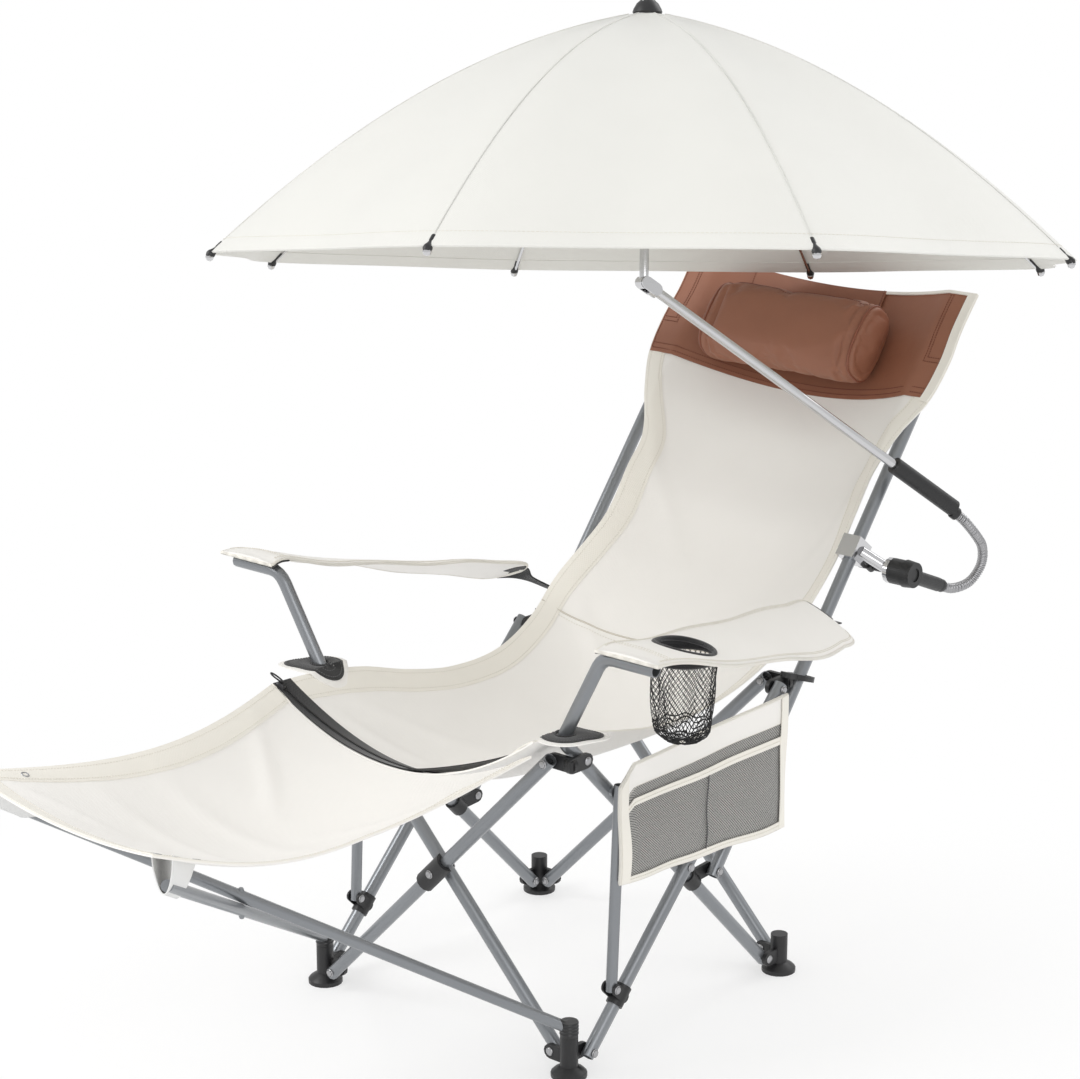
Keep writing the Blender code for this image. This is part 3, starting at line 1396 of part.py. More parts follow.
def make_stretcher(index, empty):
    """The stretcher from runner to rib."""
    name = f"canopy_stretcher_{index + 1}"
    angle = rib_angle(index)
    joint = stretcher_joint()
    side = RIB_RADIUS + STRETCHER_RADIUS + CLEARANCE
    high = in_canopy(joint, rib_height(joint), angle, side)
    low = in_canopy(RUNNER_RADIAL, runner_height(), angle, side)
    stretcher = bar(name, [low, high], STRETCHER_RADIUS, 6)
    return finish(stretcher, CHROME, empty)


def make_canopy(empty):
    """The cloth of eight gores, hollowed between the ribs at its rim."""
    rows = []
    for radius in canopy_radii():
        share = radius / CANOPY_RADIUS
        row = []
        for index in range(CANOPY_RIBS * 4):
            angle = rib_angle(index / 4)
            between = math.sin(CANOPY_RIBS * angle / 2) ** 2
            reach = radius - SCALLOP * between * share**2
            height = canopy_height(radius / CANOPY_RADIUS)
            row.append(in_canopy(reach, height, angle))
        rows.append(row)
    canopy = sheet("canopy_cover", rows, CANOPY_CLOTH, closed=True)
    return finish(canopy, CANOPY_FABRIC, empty)


# Assembly


def build_side(side, root):
    """One side's folding tubes, posts and struts, from a front foot's empty."""
    name = SIDE_NAMES[side]
    hub_outward = Y_AXIS * -side
    side_axis = side_point(SIDE_X, -PIVOT_Y, PIVOT_HEIGHT, side)
    tube_empty = joint_empty(f"side_tube_{name}", side_axis, root)
    make_side_tube(side, tube_empty)
    arm_empty = joint_empty(f"arm_tube_{name}", crossing(ARM_X, side), tube_empty)
    make_arm_tube(side, arm_empty)
    make_post_bracket(side, arm_empty)
    rear_pivot = side_point(ARM_X, PIVOT_Y, PIVOT_HEIGHT, side)
    rear_empty = joint_empty(f"foot_rear_{name}", rear_pivot, arm_empty)
    make_foot(side, 1, -hub_outward, X_AXIS * -side, rear_empty)
    front_hub_pivot = side_point(ARM_X, -PIVOT_Y, HUB_HEIGHT, side)
    hub_empty = joint_empty(f"front_hub_{name}", front_hub_pivot, arm_empty)
    make_front_hub(side, hub_outward, hub_empty)
    rear_hub_pivot = side_point(SIDE_X, PIVOT_Y, HUB_HEIGHT, side)
    rear_hub_empty = joint_empty(f"rear_hub_{name}", rear_hub_pivot, tube_empty)
    make_rear_hub(side, hub_outward, rear_hub_empty)
    post_empty = joint_empty(f"back_post_{name}", ear_point(side), arm_empty)
    make_back_post(side, post_empty)
    slider_empty = joint_empty(f"strut_slider_{name}", strut_foot(side), tube_empty)
    make_slider(side, slider_empty)
    strut_empty = joint_empty(f"strut_{name}", strut_foot(side), slider_empty)
    make_strut(side, strut_empty)
    make_armrest(side, arm_empty)
    return arm_empty, rear_empty, post_empty


def build_umbrella(post_empty):
    """The clamp, neck, pole and canopy on the left back post."""
    make_clamp(post_empty)
    screw_empty = joint_empty("clamp_screw", clamp_frame()[0], post_empty)
    make_clamp_screw(screw_empty)
    swivel_empty = joint_empty("neck_swivel", swivel_centre(), post_empty)
    make_swivel(swivel_empty)
    make_gooseneck(swivel_empty)
    make_grip(swivel_empty)
    make_pole(swivel_empty)
    knob_empty = joint_empty("swivel_knob", swivel_centre(), post_empty)
    make_swivel_knob(knob_empty)
    tilt_empty = joint_empty("canopy_tilt", knuckle_point(), swivel_empty)
    make_shaft(tilt_empty)
    make_canopy(tilt_empty)
    runner_place = in_canopy(0, runner_height(), 0)
    make_runner(joint_empty("canopy_runner", runner_place, tilt_empty))
    for index in range(CANOPY_RIBS):
        hinge = in_canopy(RIB_HINGE_RADIUS, rib_height(RIB_HINGE_RADIUS), rib_angle(index))
        rib_empty = joint_empty(f"rib_{index + 1}", hinge, tilt_empty)
        make_rib(index, rib_empty)
        joint = stretcher_joint()
        place = in_canopy(joint, rib_height(joint), rib_angle(index))
        make_stretcher(index, joint_empty(f"stretcher_{index + 1}", place, rib_empty))


def build_chair():
    root = joint_empty("foot_front_left", (HALF_SPAN, -HALF_SPAN, 0))
    make_foot(LEFT, -1, Y_AXIS, X_AXIS, root)
    left_arm, left_rear, left_post = build_side(LEFT, root)

    # The front pair: one tube rises to the right behind, one to the left in front
    behind = -HALF_SPAN + PLANE_OFFSET
    ahead = -HALF_SPAN - PLANE_OFFSET
    right_rising = joint_empty("front_tube_to_right", (PIVOT_Y, behind, PIVOT_HEIGHT), root)
    hole = [(Vector((0, behind, CROSS_HEIGHT)), Y_AXIS)]
    make_cross_tube("front_tube_to_right", RIGHT, behind, hole, right_rising)
    left_rising = joint_empty("front_tube_to_left", (0, ahead, CROSS_HEIGHT), right_rising)
    hole = [(Vector((0, ahead, CROSS_HEIGHT)), Y_AXIS)]
    make_cross_tube("front_tube_to_left", LEFT, ahead, hole, left_rising)
    make_front_saddle(left_rising)
    far_foot = joint_empty("foot_front_right", (-PIVOT_Y, ahead, PIVOT_HEIGHT), left_rising)
    make_foot(RIGHT, -1, -Y_AXIS, -X_AXIS, far_foot)
    right_arm, right_rear, right_post = build_side(RIGHT, far_foot)

    # The rear pair, each tube carried by its own rear foot
    inner = HALF_SPAN - PLANE_OFFSET
    outer = HALF_SPAN + PLANE_OFFSET
    to_right = joint_empty("rear_tube_to_right", (PIVOT_Y, outer, PIVOT_HEIGHT), left_rear)
    tube = make_cross_tube("rear_tube_to_right", RIGHT, outer, [], to_right)
    middle = Vector((0, HALF_SPAN, CROSS_HEIGHT))
    fuse(tube, cross_rivet("rear crossing rivet", middle, -Y_AXIS))
    to_left = joint_empty("rear_tube_to_left", (-PIVOT_Y, inner, PIVOT_HEIGHT), right_rear)
    hole = [(Vector((0, inner, CROSS_HEIGHT)), Y_AXIS)]
    make_cross_tube("rear_tube_to_left", LEFT, inner, hole, to_left)

    for side, foot in ((LEFT, root), (RIGHT, far_foot)):
        start = rest_start(side)
        make_rest_tube(side, joint_empty(f"footrest_tube_{SIDE_NAMES[side]}", start, foot))
    make_footrest_sling(bpy.data.objects["axis_footrest_tube_left"])
    make_seat_sling(left_post)
    make_pillow(left_post)
    make_cup_holder(left_arm)
    make_organizer(left_arm)
    build_umbrella(left_post)


def stand_on_origin():
    """Moves everything so that the middle of the whole thing's underside is the origin."""
    bpy.context.view_layer.update()
    graph = bpy.context.evaluated_depsgraph_get()
    places = []
    for part in PARTS.objects:
        if part.type == "MESH":
            evaluated = part.evaluated_get(graph)
            places += [evaluated.matrix_world @ vertex.co for vertex in evaluated.data.vertices]
    xs, ys, zs = zip(*places)
    middle = Vector((min(xs) + max(xs), min(ys) + max(ys), 2 * min(zs))) / 2
    shift = Matrix.Translation(-middle)
    for obj in [*PARTS.objects, *CUTTERS.objects]:
        if not obj.parent:
            obj.matrix_world = shift @ obj.matrix_world


build_chair()
stand_on_origin()
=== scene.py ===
"""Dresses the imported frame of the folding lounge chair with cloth, nets, seams and finishes.

Lengths are in metres. Places are given in chair coordinates, whose origin is the ground point in
the middle of the four feet, with the sitter facing -Y and the sitter's left at +X.
"""

import json
import logging
import math
from dataclasses import dataclass, field
from enum import Enum
from typing import Callable, Sequence

import bpy
from mathutils import Matrix, Vector

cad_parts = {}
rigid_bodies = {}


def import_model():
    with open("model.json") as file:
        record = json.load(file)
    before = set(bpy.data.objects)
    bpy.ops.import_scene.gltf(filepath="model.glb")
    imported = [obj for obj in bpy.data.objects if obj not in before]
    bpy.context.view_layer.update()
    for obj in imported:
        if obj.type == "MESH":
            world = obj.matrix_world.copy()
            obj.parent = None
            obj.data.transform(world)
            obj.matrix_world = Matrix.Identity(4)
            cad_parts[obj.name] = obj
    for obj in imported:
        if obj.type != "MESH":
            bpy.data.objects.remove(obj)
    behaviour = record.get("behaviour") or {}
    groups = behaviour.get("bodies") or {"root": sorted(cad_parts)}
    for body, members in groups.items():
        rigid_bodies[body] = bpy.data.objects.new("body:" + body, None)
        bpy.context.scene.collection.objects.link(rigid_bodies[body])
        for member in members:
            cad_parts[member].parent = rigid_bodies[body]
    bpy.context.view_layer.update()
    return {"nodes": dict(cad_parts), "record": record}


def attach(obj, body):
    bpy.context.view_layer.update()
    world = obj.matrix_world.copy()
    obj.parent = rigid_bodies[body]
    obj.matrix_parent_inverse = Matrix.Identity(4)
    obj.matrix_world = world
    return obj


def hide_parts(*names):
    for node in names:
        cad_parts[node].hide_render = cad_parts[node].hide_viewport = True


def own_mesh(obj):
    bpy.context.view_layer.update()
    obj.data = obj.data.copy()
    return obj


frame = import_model()
LOG = logging.getLogger("lounge_chair")

# Places and sizes that the frame has too
HALF_SPAN = 0.235
PIVOT_INSET = 0.030
PIVOT_HEIGHT = 0.028
OPEN_ANGLE = math.radians(45.5)
TUBE_RADIUS = 0.0095
EAR_DOWN, EAR_OUT, EYE_BACK = 0.078, 0.033, 0.032
HUB_HEIGHT = PIVOT_HEIGHT + 2 * (HALF_SPAN - PIVOT_INSET) * math.tan(OPEN_ANGLE)
CROSS_HEIGHT = (PIVOT_HEIGHT + HUB_HEIGHT) / 2

SOLE = Vector(frame["record"]["mounts"][0]["pos_m"])
SHIFT = SOLE - Vector((HALF_SPAN, -HALF_SPAN, 0))
X_AXIS, Y_AXIS, Z_AXIS = Vector((1, 0, 0)), Vector((0, 1, 0)), Vector((0, 0, 1))

Shape = Callable[[float, float], Vector]


class Side(Enum):
    """The sitter's two sides, with the sign of X at each."""

    LEFT = 1
    RIGHT = -1

    @property
    def word(self) -> str:
        """The side's name in the names of nodes and bodies."""
        return self.name.lower()


# Shader graphs


class Value:
    """A shader number that takes part in Python arithmetic."""

    def __init__(self, graph: "Graph", socket: bpy.types.NodeSocket) -> None:
        """Wraps an output socket of the graph."""
        self.graph = graph
        self.socket = socket

    def _math(self, operation: str, *values: object) -> "Value":
        """One Math node.

        Args:
            operation: The node's operation.
            values: Its inputs, in order.

        Returns:
            The node's result.
        """
        return self.graph.value("ShaderNodeMath", {"operation": operation}, list(values))

    def __add__(self, other: object) -> "Value":
        """Sum."""
        return self._math("ADD", self, other)

    def __radd__(self, other: object) -> "Value":
        """Sum with the number first."""
        return self._math("ADD", other, self)

    def __sub__(self, other: object) -> "Value":
        """Difference."""
        return self._math("SUBTRACT", self, other)

    def __rsub__(self, other: object) -> "Value":
        """Difference from a number."""
        return self._math("SUBTRACT", other, self)

    def __mul__(self, other: object) -> "Value":
        """Product."""
        return self._math("MULTIPLY", self, other)

    def __rmul__(self, other: object) -> "Value":
        """Product with the number first."""
        return self._math("MULTIPLY", other, self)

    def sine(self) -> "Value":
        """Sine."""
        return self._math("SINE", self)

    def size(self) -> "Value":
        """Absolute value."""
        return self._math("ABSOLUTE", self)

    def below(self, limit: object) -> "Value":
        """1 where it is under the limit, else 0."""
        return self._math("LESS_THAN", self, limit)

    def most(self, other: object) -> "Value":
        """The larger of the two."""
        return self._math("MAXIMUM", self, other)

    def least(self, other: object) -> "Value":
        """The smaller of the two."""
        return self._math("MINIMUM", self, other)


class Graph:
    """A material's node tree, with a short way to add nodes."""

    def __init__(self, material: bpy.types.Material) -> None:
        """Empties the material's tree and gives it a Principled shader."""
        material.use_nodes = True
        self.tree = material.node_tree
        self.tree.nodes.clear()
        self.output = self.node("ShaderNodeOutputMaterial")
        self.shader = self.node("ShaderNodeBsdfPrincipled")
        self.link(self.shader.outputs[0], self.output.inputs["Surface"])

    def link(self, source: bpy.types.NodeSocket, target: bpy.types.NodeSocket) -> None:
        """Joins two sockets."""
        self.tree.links.new(source, target)

    def node(self, kind: str, settings: dict | None = None, inputs: object = ()) -> bpy.types.Node:
        """Adds a node.

        Args:
            kind: The node's type.
            settings: Attributes set before the inputs. "ramp" holds a colour ramp's stops.
            inputs: Values, sockets or Values, as a list in order or a dict by name.

        Returns:
            The node.
        """
        made = self.tree.nodes.new(kind)
        for key, setting in (settings or {}).items():
            if key == "ramp":
                for index, (place, colour) in enumerate(setting):
                    stops = made.color_ramp.elements
                    stop = stops[index] if index < len(stops) else stops.new(place)
                    stop.position, stop.color = place, (*colour, 1)
            else:
                setattr(made, key, setting)
        pairs = inputs.items() if isinstance(inputs, dict) else enumerate(inputs)
        for key, entry in pairs:
            if isinstance(entry, Value):
                self.link(entry.socket, made.inputs[key])
            elif isinstance(entry, bpy.types.NodeSocket):
                self.link(entry, made.inputs[key])
            else:
                made.inputs[key].default_value = entry
        return made

    def value(self, kind: str, settings: dict | None = None, inputs: object = ()) -> Value:
        """Adds a node and wraps its first output."""
        return Value(self, self.node(kind, settings, inputs).outputs[0])

    def place(self) -> bpy.types.NodeSocket:
        """The object coordinates."""
        return self.node("ShaderNodeTexCoord").outputs["Object"]

    def plan(self) -> tuple[Value, Value]:
        """The piece's own UV map, in metres, as two numbers."""
        source = self.node("ShaderNodeTexCoord").outputs["UV"]
        parts = self.node("ShaderNodeSeparateXYZ", None, [source])
        return Value(self, parts.outputs[0]), Value(self, parts.outputs[1])

    def noise(self, scale: float, detail: float = 3.0, stretch: Vector | None = None) -> Value:
        """Noise on the object coordinates, from 0 to 1.

        Args:
            scale: Features per metre.
            detail: Octaves.
            stretch: A scale for each axis, for streaks.

        Returns:
            The noise.
        """
        source = self.place()
        if stretch:
            source = self.node(
                "ShaderNodeMapping", None, {"Vector": source, "Scale": stretch}
            ).outputs[0]
        inputs = {"Vector": source, "Scale": scale, "Detail": detail}
        return self.value("ShaderNodeTexNoise", None, inputs)

    def shade(
        self, factor: Value, low: Sequence[float], high: Sequence[float]
    ) -> bpy.types.NodeSocket:
        """A colour between two, by a factor."""
        settings = {"data_type": "RGBA"}
        mix = self.node("ShaderNodeMix", settings, {0: factor, 6: (*low, 1), 7: (*high, 1)})
        return mix.outputs[2]

    def raise_surface(self, height: Value, strength: float = 1.0) -> None:
        """Feeds a height in metres to the shader's normal."""
        inputs = {"Height": height, "Distance": 1.0, "Strength": strength}
        bump = self.node("ShaderNodeBump", None, inputs)
        self.link(bump.outputs[0], self.shader.inputs["Normal"])


# Finishes


@dataclass(frozen=True)
class Finish:
    """A named surface finish."""

    name: str
    colour: tuple[float, float, float]
    roughness: float = 0.5
    metallic: float = 0.0

    def material(self) -> bpy.types.Material:
        """The finish's material, made once."""
        found = bpy.data.materials.get(self.name)
        if found:
            return found
        made = bpy.data.materials.new(self.name)
        graph = Graph(made)
        inputs = graph.shader.inputs
        inputs["Base Color"].default_value = (*self.colour, 1)
        inputs["Roughness"].default_value = self.roughness
        inputs["Metallic"].default_value = self.metallic
        self.dress(graph)
        return made

    def dress(self, graph: Graph) -> None:
        """Adds what varies over the surface."""

    def tint(self, share: float) -> tuple[float, float, float]:
        """The finish's colour, lighter or darker."""
        red, green, blue = (min(part * share, 1.0) for part in self.colour)
        return red, green, blue

    def put_on(self, *pieces: bpy.types.Object) -> None:
        """Makes this the only material of the pieces."""
        for piece in pieces:
            if not piece.material_slots:
                piece.data.materials.append(self.material())
            for holder in piece.material_slots:
                holder.material = self.material()


@dataclass(frozen=True)
class Cloth(Finish):
    """Plain woven cloth, with soft creases."""

    pitch: float = 0.0011
    yarn: float = 0.00010
    crease: float = 0.0022
    crease_scale: float = 5.0
    sheen: float = 0.15

    def dress(self, graph: Graph) -> None:
        """Weave from the UV map and creases from the object's place."""
        across, along = graph.plan()
        turn = math.pi / self.pitch
        weave = (across * turn).sine() * (along * turn).sine()
        crease = graph.noise(self.crease_scale, 2.0)
        fine = graph.noise(38.0, 3.0)
        graph.raise_surface(weave * self.yarn + crease * self.crease + fine * 0.00025)
        shade = graph.shade(graph.noise(11.0, 4.0), self.tint(0.975), self.tint(1.015))
        graph.link(shade, graph.shader.inputs["Base Color"])
        graph.shader.inputs["Sheen Weight"].default_value = self.sheen


@dataclass(frozen=True)
class CoatedCloth(Finish):
    """Tightly woven coated cloth with a dull shine."""

    grain: float = 0.00012

    def dress(self, graph: Graph) -> None:
        """Fine pebble grain, puckers and a mottled colour."""
        grain = graph.noise(900.0, 2.0)
        pucker = graph.noise(22.0, 2.0)
        graph.raise_surface(grain * self.grain + pucker * 0.0011)
        shade = graph.shade(graph.noise(16.0, 4.0), self.tint(0.90), self.tint(1.08))
        graph.link(shade, graph.shader.inputs["Base Color"])
        rough = graph.noise(60.0, 3.0) * 0.12 + (self.roughness - 0.06)
        graph.link(rough.socket, graph.shader.inputs["Roughness"])


@dataclass(frozen=True)
class Net(Finish):
    """Knitted net: diagonal threads with open holes between them."""

    hole: float = 0.0042
    thread: float = 0.33

    def dress(self, graph: Graph) -> None:
        """Threads from the UV map, as alpha, with a mottled colour."""
        across, along = graph.plan()
        turn = math.pi / self.hole
        one = ((across + along) * turn).sine().size()
        other = ((across - along) * turn).sine().size()
        thread = one.least(other).below(self.thread)
        graph.link(thread.socket, graph.shader.inputs["Alpha"])
        shade = graph.shade(graph.noise(150.0, 2.0), self.tint(0.7), self.tint(1.3))
        graph.link(shade, graph.shader.inputs["Base Color"])


@dataclass(frozen=True)
class Steel(Finish):
    """Painted or plated steel with fine drawing marks."""

    mark: float = 0.06
    relief: float = 0.00002

    def dress(self, graph: Graph) -> None:
        """Roughness and colour that vary a little along the metal."""
        streak = graph.noise(240.0, 3.0, Vector((1.0, 1.0, 0.08)))
        cloud = graph.noise(9.0, 3.0)
        rough = streak * self.mark + cloud * self.mark + (self.roughness - self.mark)
        graph.link(rough.socket, graph.shader.inputs["Roughness"])
        shade = graph.shade(cloud, self.tint(0.93), self.tint(1.06))
        self.colour_metal(graph, shade)
        graph.raise_surface(streak * self.relief)

    def colour_metal(self, graph: Graph, shade: bpy.types.NodeSocket) -> None:
        """Gives the shader its colour."""
        graph.link(shade, graph.shader.inputs["Base Color"])


@dataclass(frozen=True)
class PluggedSteel(Steel):
    """A painted tube with a black plug moulded on its lower end."""

    plug: tuple[float, float] = (0.235, -0.235)
    reach: float = 0.0135
    plug_colour: tuple[float, float, float] = (0.016, 0.016, 0.017)

    def colour_metal(self, graph: Graph, shade: bpy.types.NodeSocket) -> None:
        """Keeps the tube's colour, and makes it black and no metal near the plug's axis."""
        parts = graph.node("ShaderNodeSeparateXYZ", None, [graph.place()])
        over = (Value(graph, parts.outputs[0]) - SHIFT.x).size() - self.plug[0]
        along = Value(graph, parts.outputs[1]) - (self.plug[1] + SHIFT.y)
        near = (over * over + along * along).below(self.reach**2)
        settings = {"data_type": "RGBA"}
        mix = graph.node("ShaderNodeMix", settings, {0: near, 6: shade, 7: (*self.plug_colour, 1)})
        graph.link(mix.outputs[2], graph.shader.inputs["Base Color"])
        graph.link((near * -self.metallic + self.metallic).socket, graph.shader.inputs["Metallic"])


@dataclass(frozen=True)
class Plastic(Finish):
    """Moulded plastic with a fine spark texture."""

    spark: float = 0.00005

    def dress(self, graph: Graph) -> None:
        """Spark texture and scuffed roughness."""
        graph.raise_surface(graph.noise(1400.0, 2.0) * self.spark)
        rough = graph.noise(45.0, 4.0) * 0.18 + (self.roughness - 0.09)
        graph.link(rough.socket, graph.shader.inputs["Roughness"])
        shade = graph.shade(graph.noise(70.0, 3.0), self.tint(0.8), self.tint(1.35))
        graph.link(shade, graph.shader.inputs["Base Color"])


CREAM = Cloth("cream_canvas", (0.90, 0.88, 0.845), 0.88)
CREAM_TAPE = Cloth("cream_binding", (0.865, 0.835, 0.765), 0.85, crease=0.0006, pitch=0.0016)
POCKET_CLOTH = Cloth("pocket_cloth", (0.78, 0.78, 0.77), 0.8, crease=0.0010)
SEAM_SHADE = Finish("seam_shade", (0.62, 0.58, 0.51), 0.9)
CANOPY = Cloth(
    "canopy_cloth", (0.76, 0.755, 0.715), 0.46, crease=0.0014, crease_scale=3.0, sheen=0.1
)
BROWN = CoatedCloth("brown_coated_cloth", (0.290, 0.116, 0.066), 0.55)
BROWN_PIPING = CoatedCloth("brown_piping", (0.235, 0.078, 0.042), 0.5)
BROWN_THREAD = Finish("brown_thread", (0.17, 0.055, 0.032), 0.8)
BLACK_TAPE = Cloth(
    "black_webbing", (0.012, 0.012, 0.013), 0.8, crease=0.0004, pitch=0.0022, sheen=0.3
)
CREAM_THREAD = Finish("cream_thread", (0.74, 0.71, 0.64), 0.8)
GREY_THREAD = Finish("grey_thread", (0.13, 0.13, 0.13), 0.8)
CREAM_STITCH = (0.0046, CREAM_THREAD, 0.0005)  # pitch, thread, thread radius
BLACK_NET = Finish("black_net_cord", (0.010, 0.010, 0.011), 0.75)
POCKET_NET = Net("pocket_net", (0.045, 0.045, 0.045), 0.7)
POCKET_SHADE = Cloth("pocket_shade", (0.66, 0.65, 0.62), 0.9, crease=0.0012)
GREY_STEEL = Steel("grey_steel", (0.26, 0.272, 0.288), 0.32, 0.70)
PLUGGED_STEEL = PluggedSteel("plugged_steel", (0.26, 0.272, 0.288), 0.32, 0.70)
CHROME = Steel("chrome", (0.44, 0.44, 0.45), 0.14, 1.0, mark=0.03)
ZINC = Steel("zinc_rivet", (0.42, 0.42, 0.43), 0.30, 1.0)
NECK_STEEL = Steel("neck_wire", (0.40, 0.40, 0.41), 0.28, 1.0, mark=0.04)
ZIP_METAL = Steel("zip_metal", (0.05, 0.05, 0.052), 0.36, 0.9, mark=0.04)
BLACK = Plastic("black_plastic", (0.014, 0.014, 0.015), 0.42)


# Modelling bench


def deselect() -> None:
    """Leaves nothing selected, in object mode."""
    if bpy.context.mode != "OBJECT":
        bpy.ops.object.mode_set(mode="OBJECT")
    bpy.ops.object.select_all(action="DESELECT")


def activate(obj: bpy.types.Object) -> None:
    """Selects one object only and makes it active."""
    deselect()
    obj.select_set(True)
    bpy.context.view_layer.objects.active = obj


def settle(obj: bpy.types.Object, angle: float = 40.0) -> bpy.types.Object:
    """Applies the modifiers and the place, and shades smooth up to an angle in degrees."""
    activate(obj)
    for modifier in list(obj.modifiers):
        bpy.ops.object.modifier_apply(modifier=modifier.name)
    bpy.ops.object.transform_apply(location=True, rotation=True, scale=True)
    bpy.ops.object.shade_smooth_by_angle(angle=math.radians(angle))
    return obj


def grid_piece(
    name: str, shape: Shape, columns: int, rows: int, size: tuple[float, float]
) -> bpy.types.Object:
    """A grid laid on a surface, with its UV map in metres.

    Args:
        name: The piece's name.
        shape: The surface, from two shares of 0 to 1 to a place in chair coordinates.
        columns: Faces across.
        rows: Faces along.
        size: The cloth's flat width and length.

    Returns:
        The open, single-layer piece.
    """
    deselect()
    bpy.ops.mesh.primitive_grid_add(x_subdivisions=columns, y_subdivisions=rows, size=2)
    made = bpy.context.active_object
    made.name = made.data.name = name
    shares = [((v.co.x + 1) / 2, (v.co.y + 1) / 2) for v in made.data.vertices]
    for vertex, (u, v) in zip(made.data.vertices, shares):
        vertex.co = shape(u, v) + SHIFT
    layer = made.data.uv_layers.active.data
    for loop in made.data.loops:
        u, v = shares[loop.vertex_index]
        layer[loop.index].uv = (u * size[0], v * size[1])
    return made


def thicken(obj: bpy.types.Object, thickness: float, offset: float = 0.0) -> bpy.types.Object:
    """Gives a single layer its thickness."""
    wall = obj.modifiers.new("wall", "SOLIDIFY")
    wall.thickness = thickness
    wall.offset = offset
    return settle(obj)


def cloth_piece(
    name: str,
    shape: Shape,
    columns: int,
    rows: int,
    size: tuple[float, float],
    thickness: float,
    finish: Finish,
    offset: float = 0.0,
) -> bpy.types.Object:
    """A finished sheet of cloth on a surface.

    Args:
        name: The piece's name.
        shape: The surface.
        columns: Faces across.
        rows: Faces along.
        size: The flat width and length.
        thickness: The cloth's thickness.
        finish: What it is made of.
        offset: -1 to 1, where the thickness lies about the surface.

    Returns:
        The piece.
    """
    made = thicken(grid_piece(name, shape, columns, rows, size), thickness, offset)
    finish.put_on(made)
    return made


def cord_piece(
    name: str,
    points: Sequence[Vector],
    radius: float,
    sides: int,
    finish: Finish,
    closed: bool = False,
) -> bpy.types.Object:
    """A round bar along points in chair coordinates.

    Args:
        name: The piece's name.
        points: The route.
        radius: Its radius.
        sides: Faces round it.
        finish: What it is made of.
        closed: Whether the route closes on itself.

    Returns:
        The piece, as a mesh.
    """
    data = bpy.data.curves.new(name, "CURVE")
    data.dimensions = "3D"
    data.bevel_depth = radius
    data.bevel_resolution = max(sides // 2 - 2, 0)
    data.use_fill_caps = not closed
    spline = data.splines.new("POLY")
    spline.points.add(len(points) - 1)
    for index, point in enumerate(points):
        spline.points[index].co = (*(Vector(point) + SHIFT), 1)
    spline.use_cyclic_u = closed
    made = bpy.data.objects.new(name, data)
    bpy.context.scene.collection.objects.link(made)
    activate(made)
    bpy.ops.object.convert(target="MESH")
    made = bpy.context.active_object
    settle(made, 60)
    finish.put_on(made)
    return made


def turned_piece(
    name: str, profile: Sequence[tuple[float, float]], place: Matrix, steps: int, finish: Finish
) -> bpy.types.Object:
    """A profile of (radius, height) turned about local Z.

    Args:
        name: The piece's name.
        profile: Points from the top, down the outer side.
        place: Where local Z stands, in chair coordinates.
        steps: Faces round it.
        finish: What it is made of.

    Returns:
        The piece.
    """
    mesh = bpy.data.meshes.new(name)
    points = [(radius, 0, height) for radius, height in profile]
    mesh.from_pydata(points, [(i, i + 1) for i in range(len(points) - 1)], [])
    made = bpy.data.objects.new(name, mesh)
    bpy.context.scene.collection.objects.link(made)
    made.matrix_world = Matrix.Translation(SHIFT) @ place
    screw = made.modifiers.new("turn", "SCREW")
    screw.steps = screw.render_steps = steps
    screw.use_merge_vertices = True
    screw.merge_threshold = 1e-5
    settle(made, 35)
    finish.put_on(made)
    return made


def facing(direction: Vector, origin: Vector) -> Matrix:
    """A matrix that stands local Z along a direction at a place."""
    turn = Vector(direction).to_track_quat("Z", "Y").to_matrix().to_4x4()
    return Matrix.Translation(origin) @ turn


def joined(name: str, parts: Sequence[bpy.types.Object]) -> bpy.types.Object:
    """Makes one piece of several."""
    deselect()
    for part in parts:
        part.select_set(True)
    bpy.context.view_layer.objects.active = parts[0]
    if len(parts) > 1:
        bpy.ops.object.join()
    parts[0].name = parts[0].data.name = name
    return parts[0]


def copies(name: str, model: bpy.types.Object, places: Sequence[Matrix]) -> bpy.types.Object:
    """One piece of many copies of a small model, which is removed.

    Args:
        name: The piece's name.
        model: The model, at the origin.
        places: A matrix for each copy, in chair coordinates.

    Returns:
        The piece.
    """
    source = model.data
    points: list[Vector] = []
    faces: list[list[int]] = []
    for place in places:
        start = len(points)
        matrix = Matrix.Translation(SHIFT) @ place
        points += [matrix @ vertex.co for vertex in source.vertices]
        faces += [[start + index for index in face.vertices] for face in source.polygons]
    mesh = bpy.data.meshes.new(name)
    mesh.from_pydata(points, [], faces)
    made = bpy.data.objects.new(name, mesh)
    bpy.context.scene.collection.objects.link(made)
    for holder in model.material_slots:
        mesh.materials.append(holder.material)
    bpy.data.objects.remove(model)
    settle(made, 45)
    return made


def stitch_model(length: float, radius: float, finish: Finish) -> bpy.types.Object:
    """One stitch, lying along local X."""
    deselect()
    bpy.ops.mesh.primitive_cylinder_add(vertices=5, radius=radius, depth=length)
    made = bpy.context.active_object
    for vertex in made.data.vertices:
        x, y, z = vertex.co
        vertex.co = (z, y, x)
    made.data.flip_normals()
    finish.put_on(made)
    return made


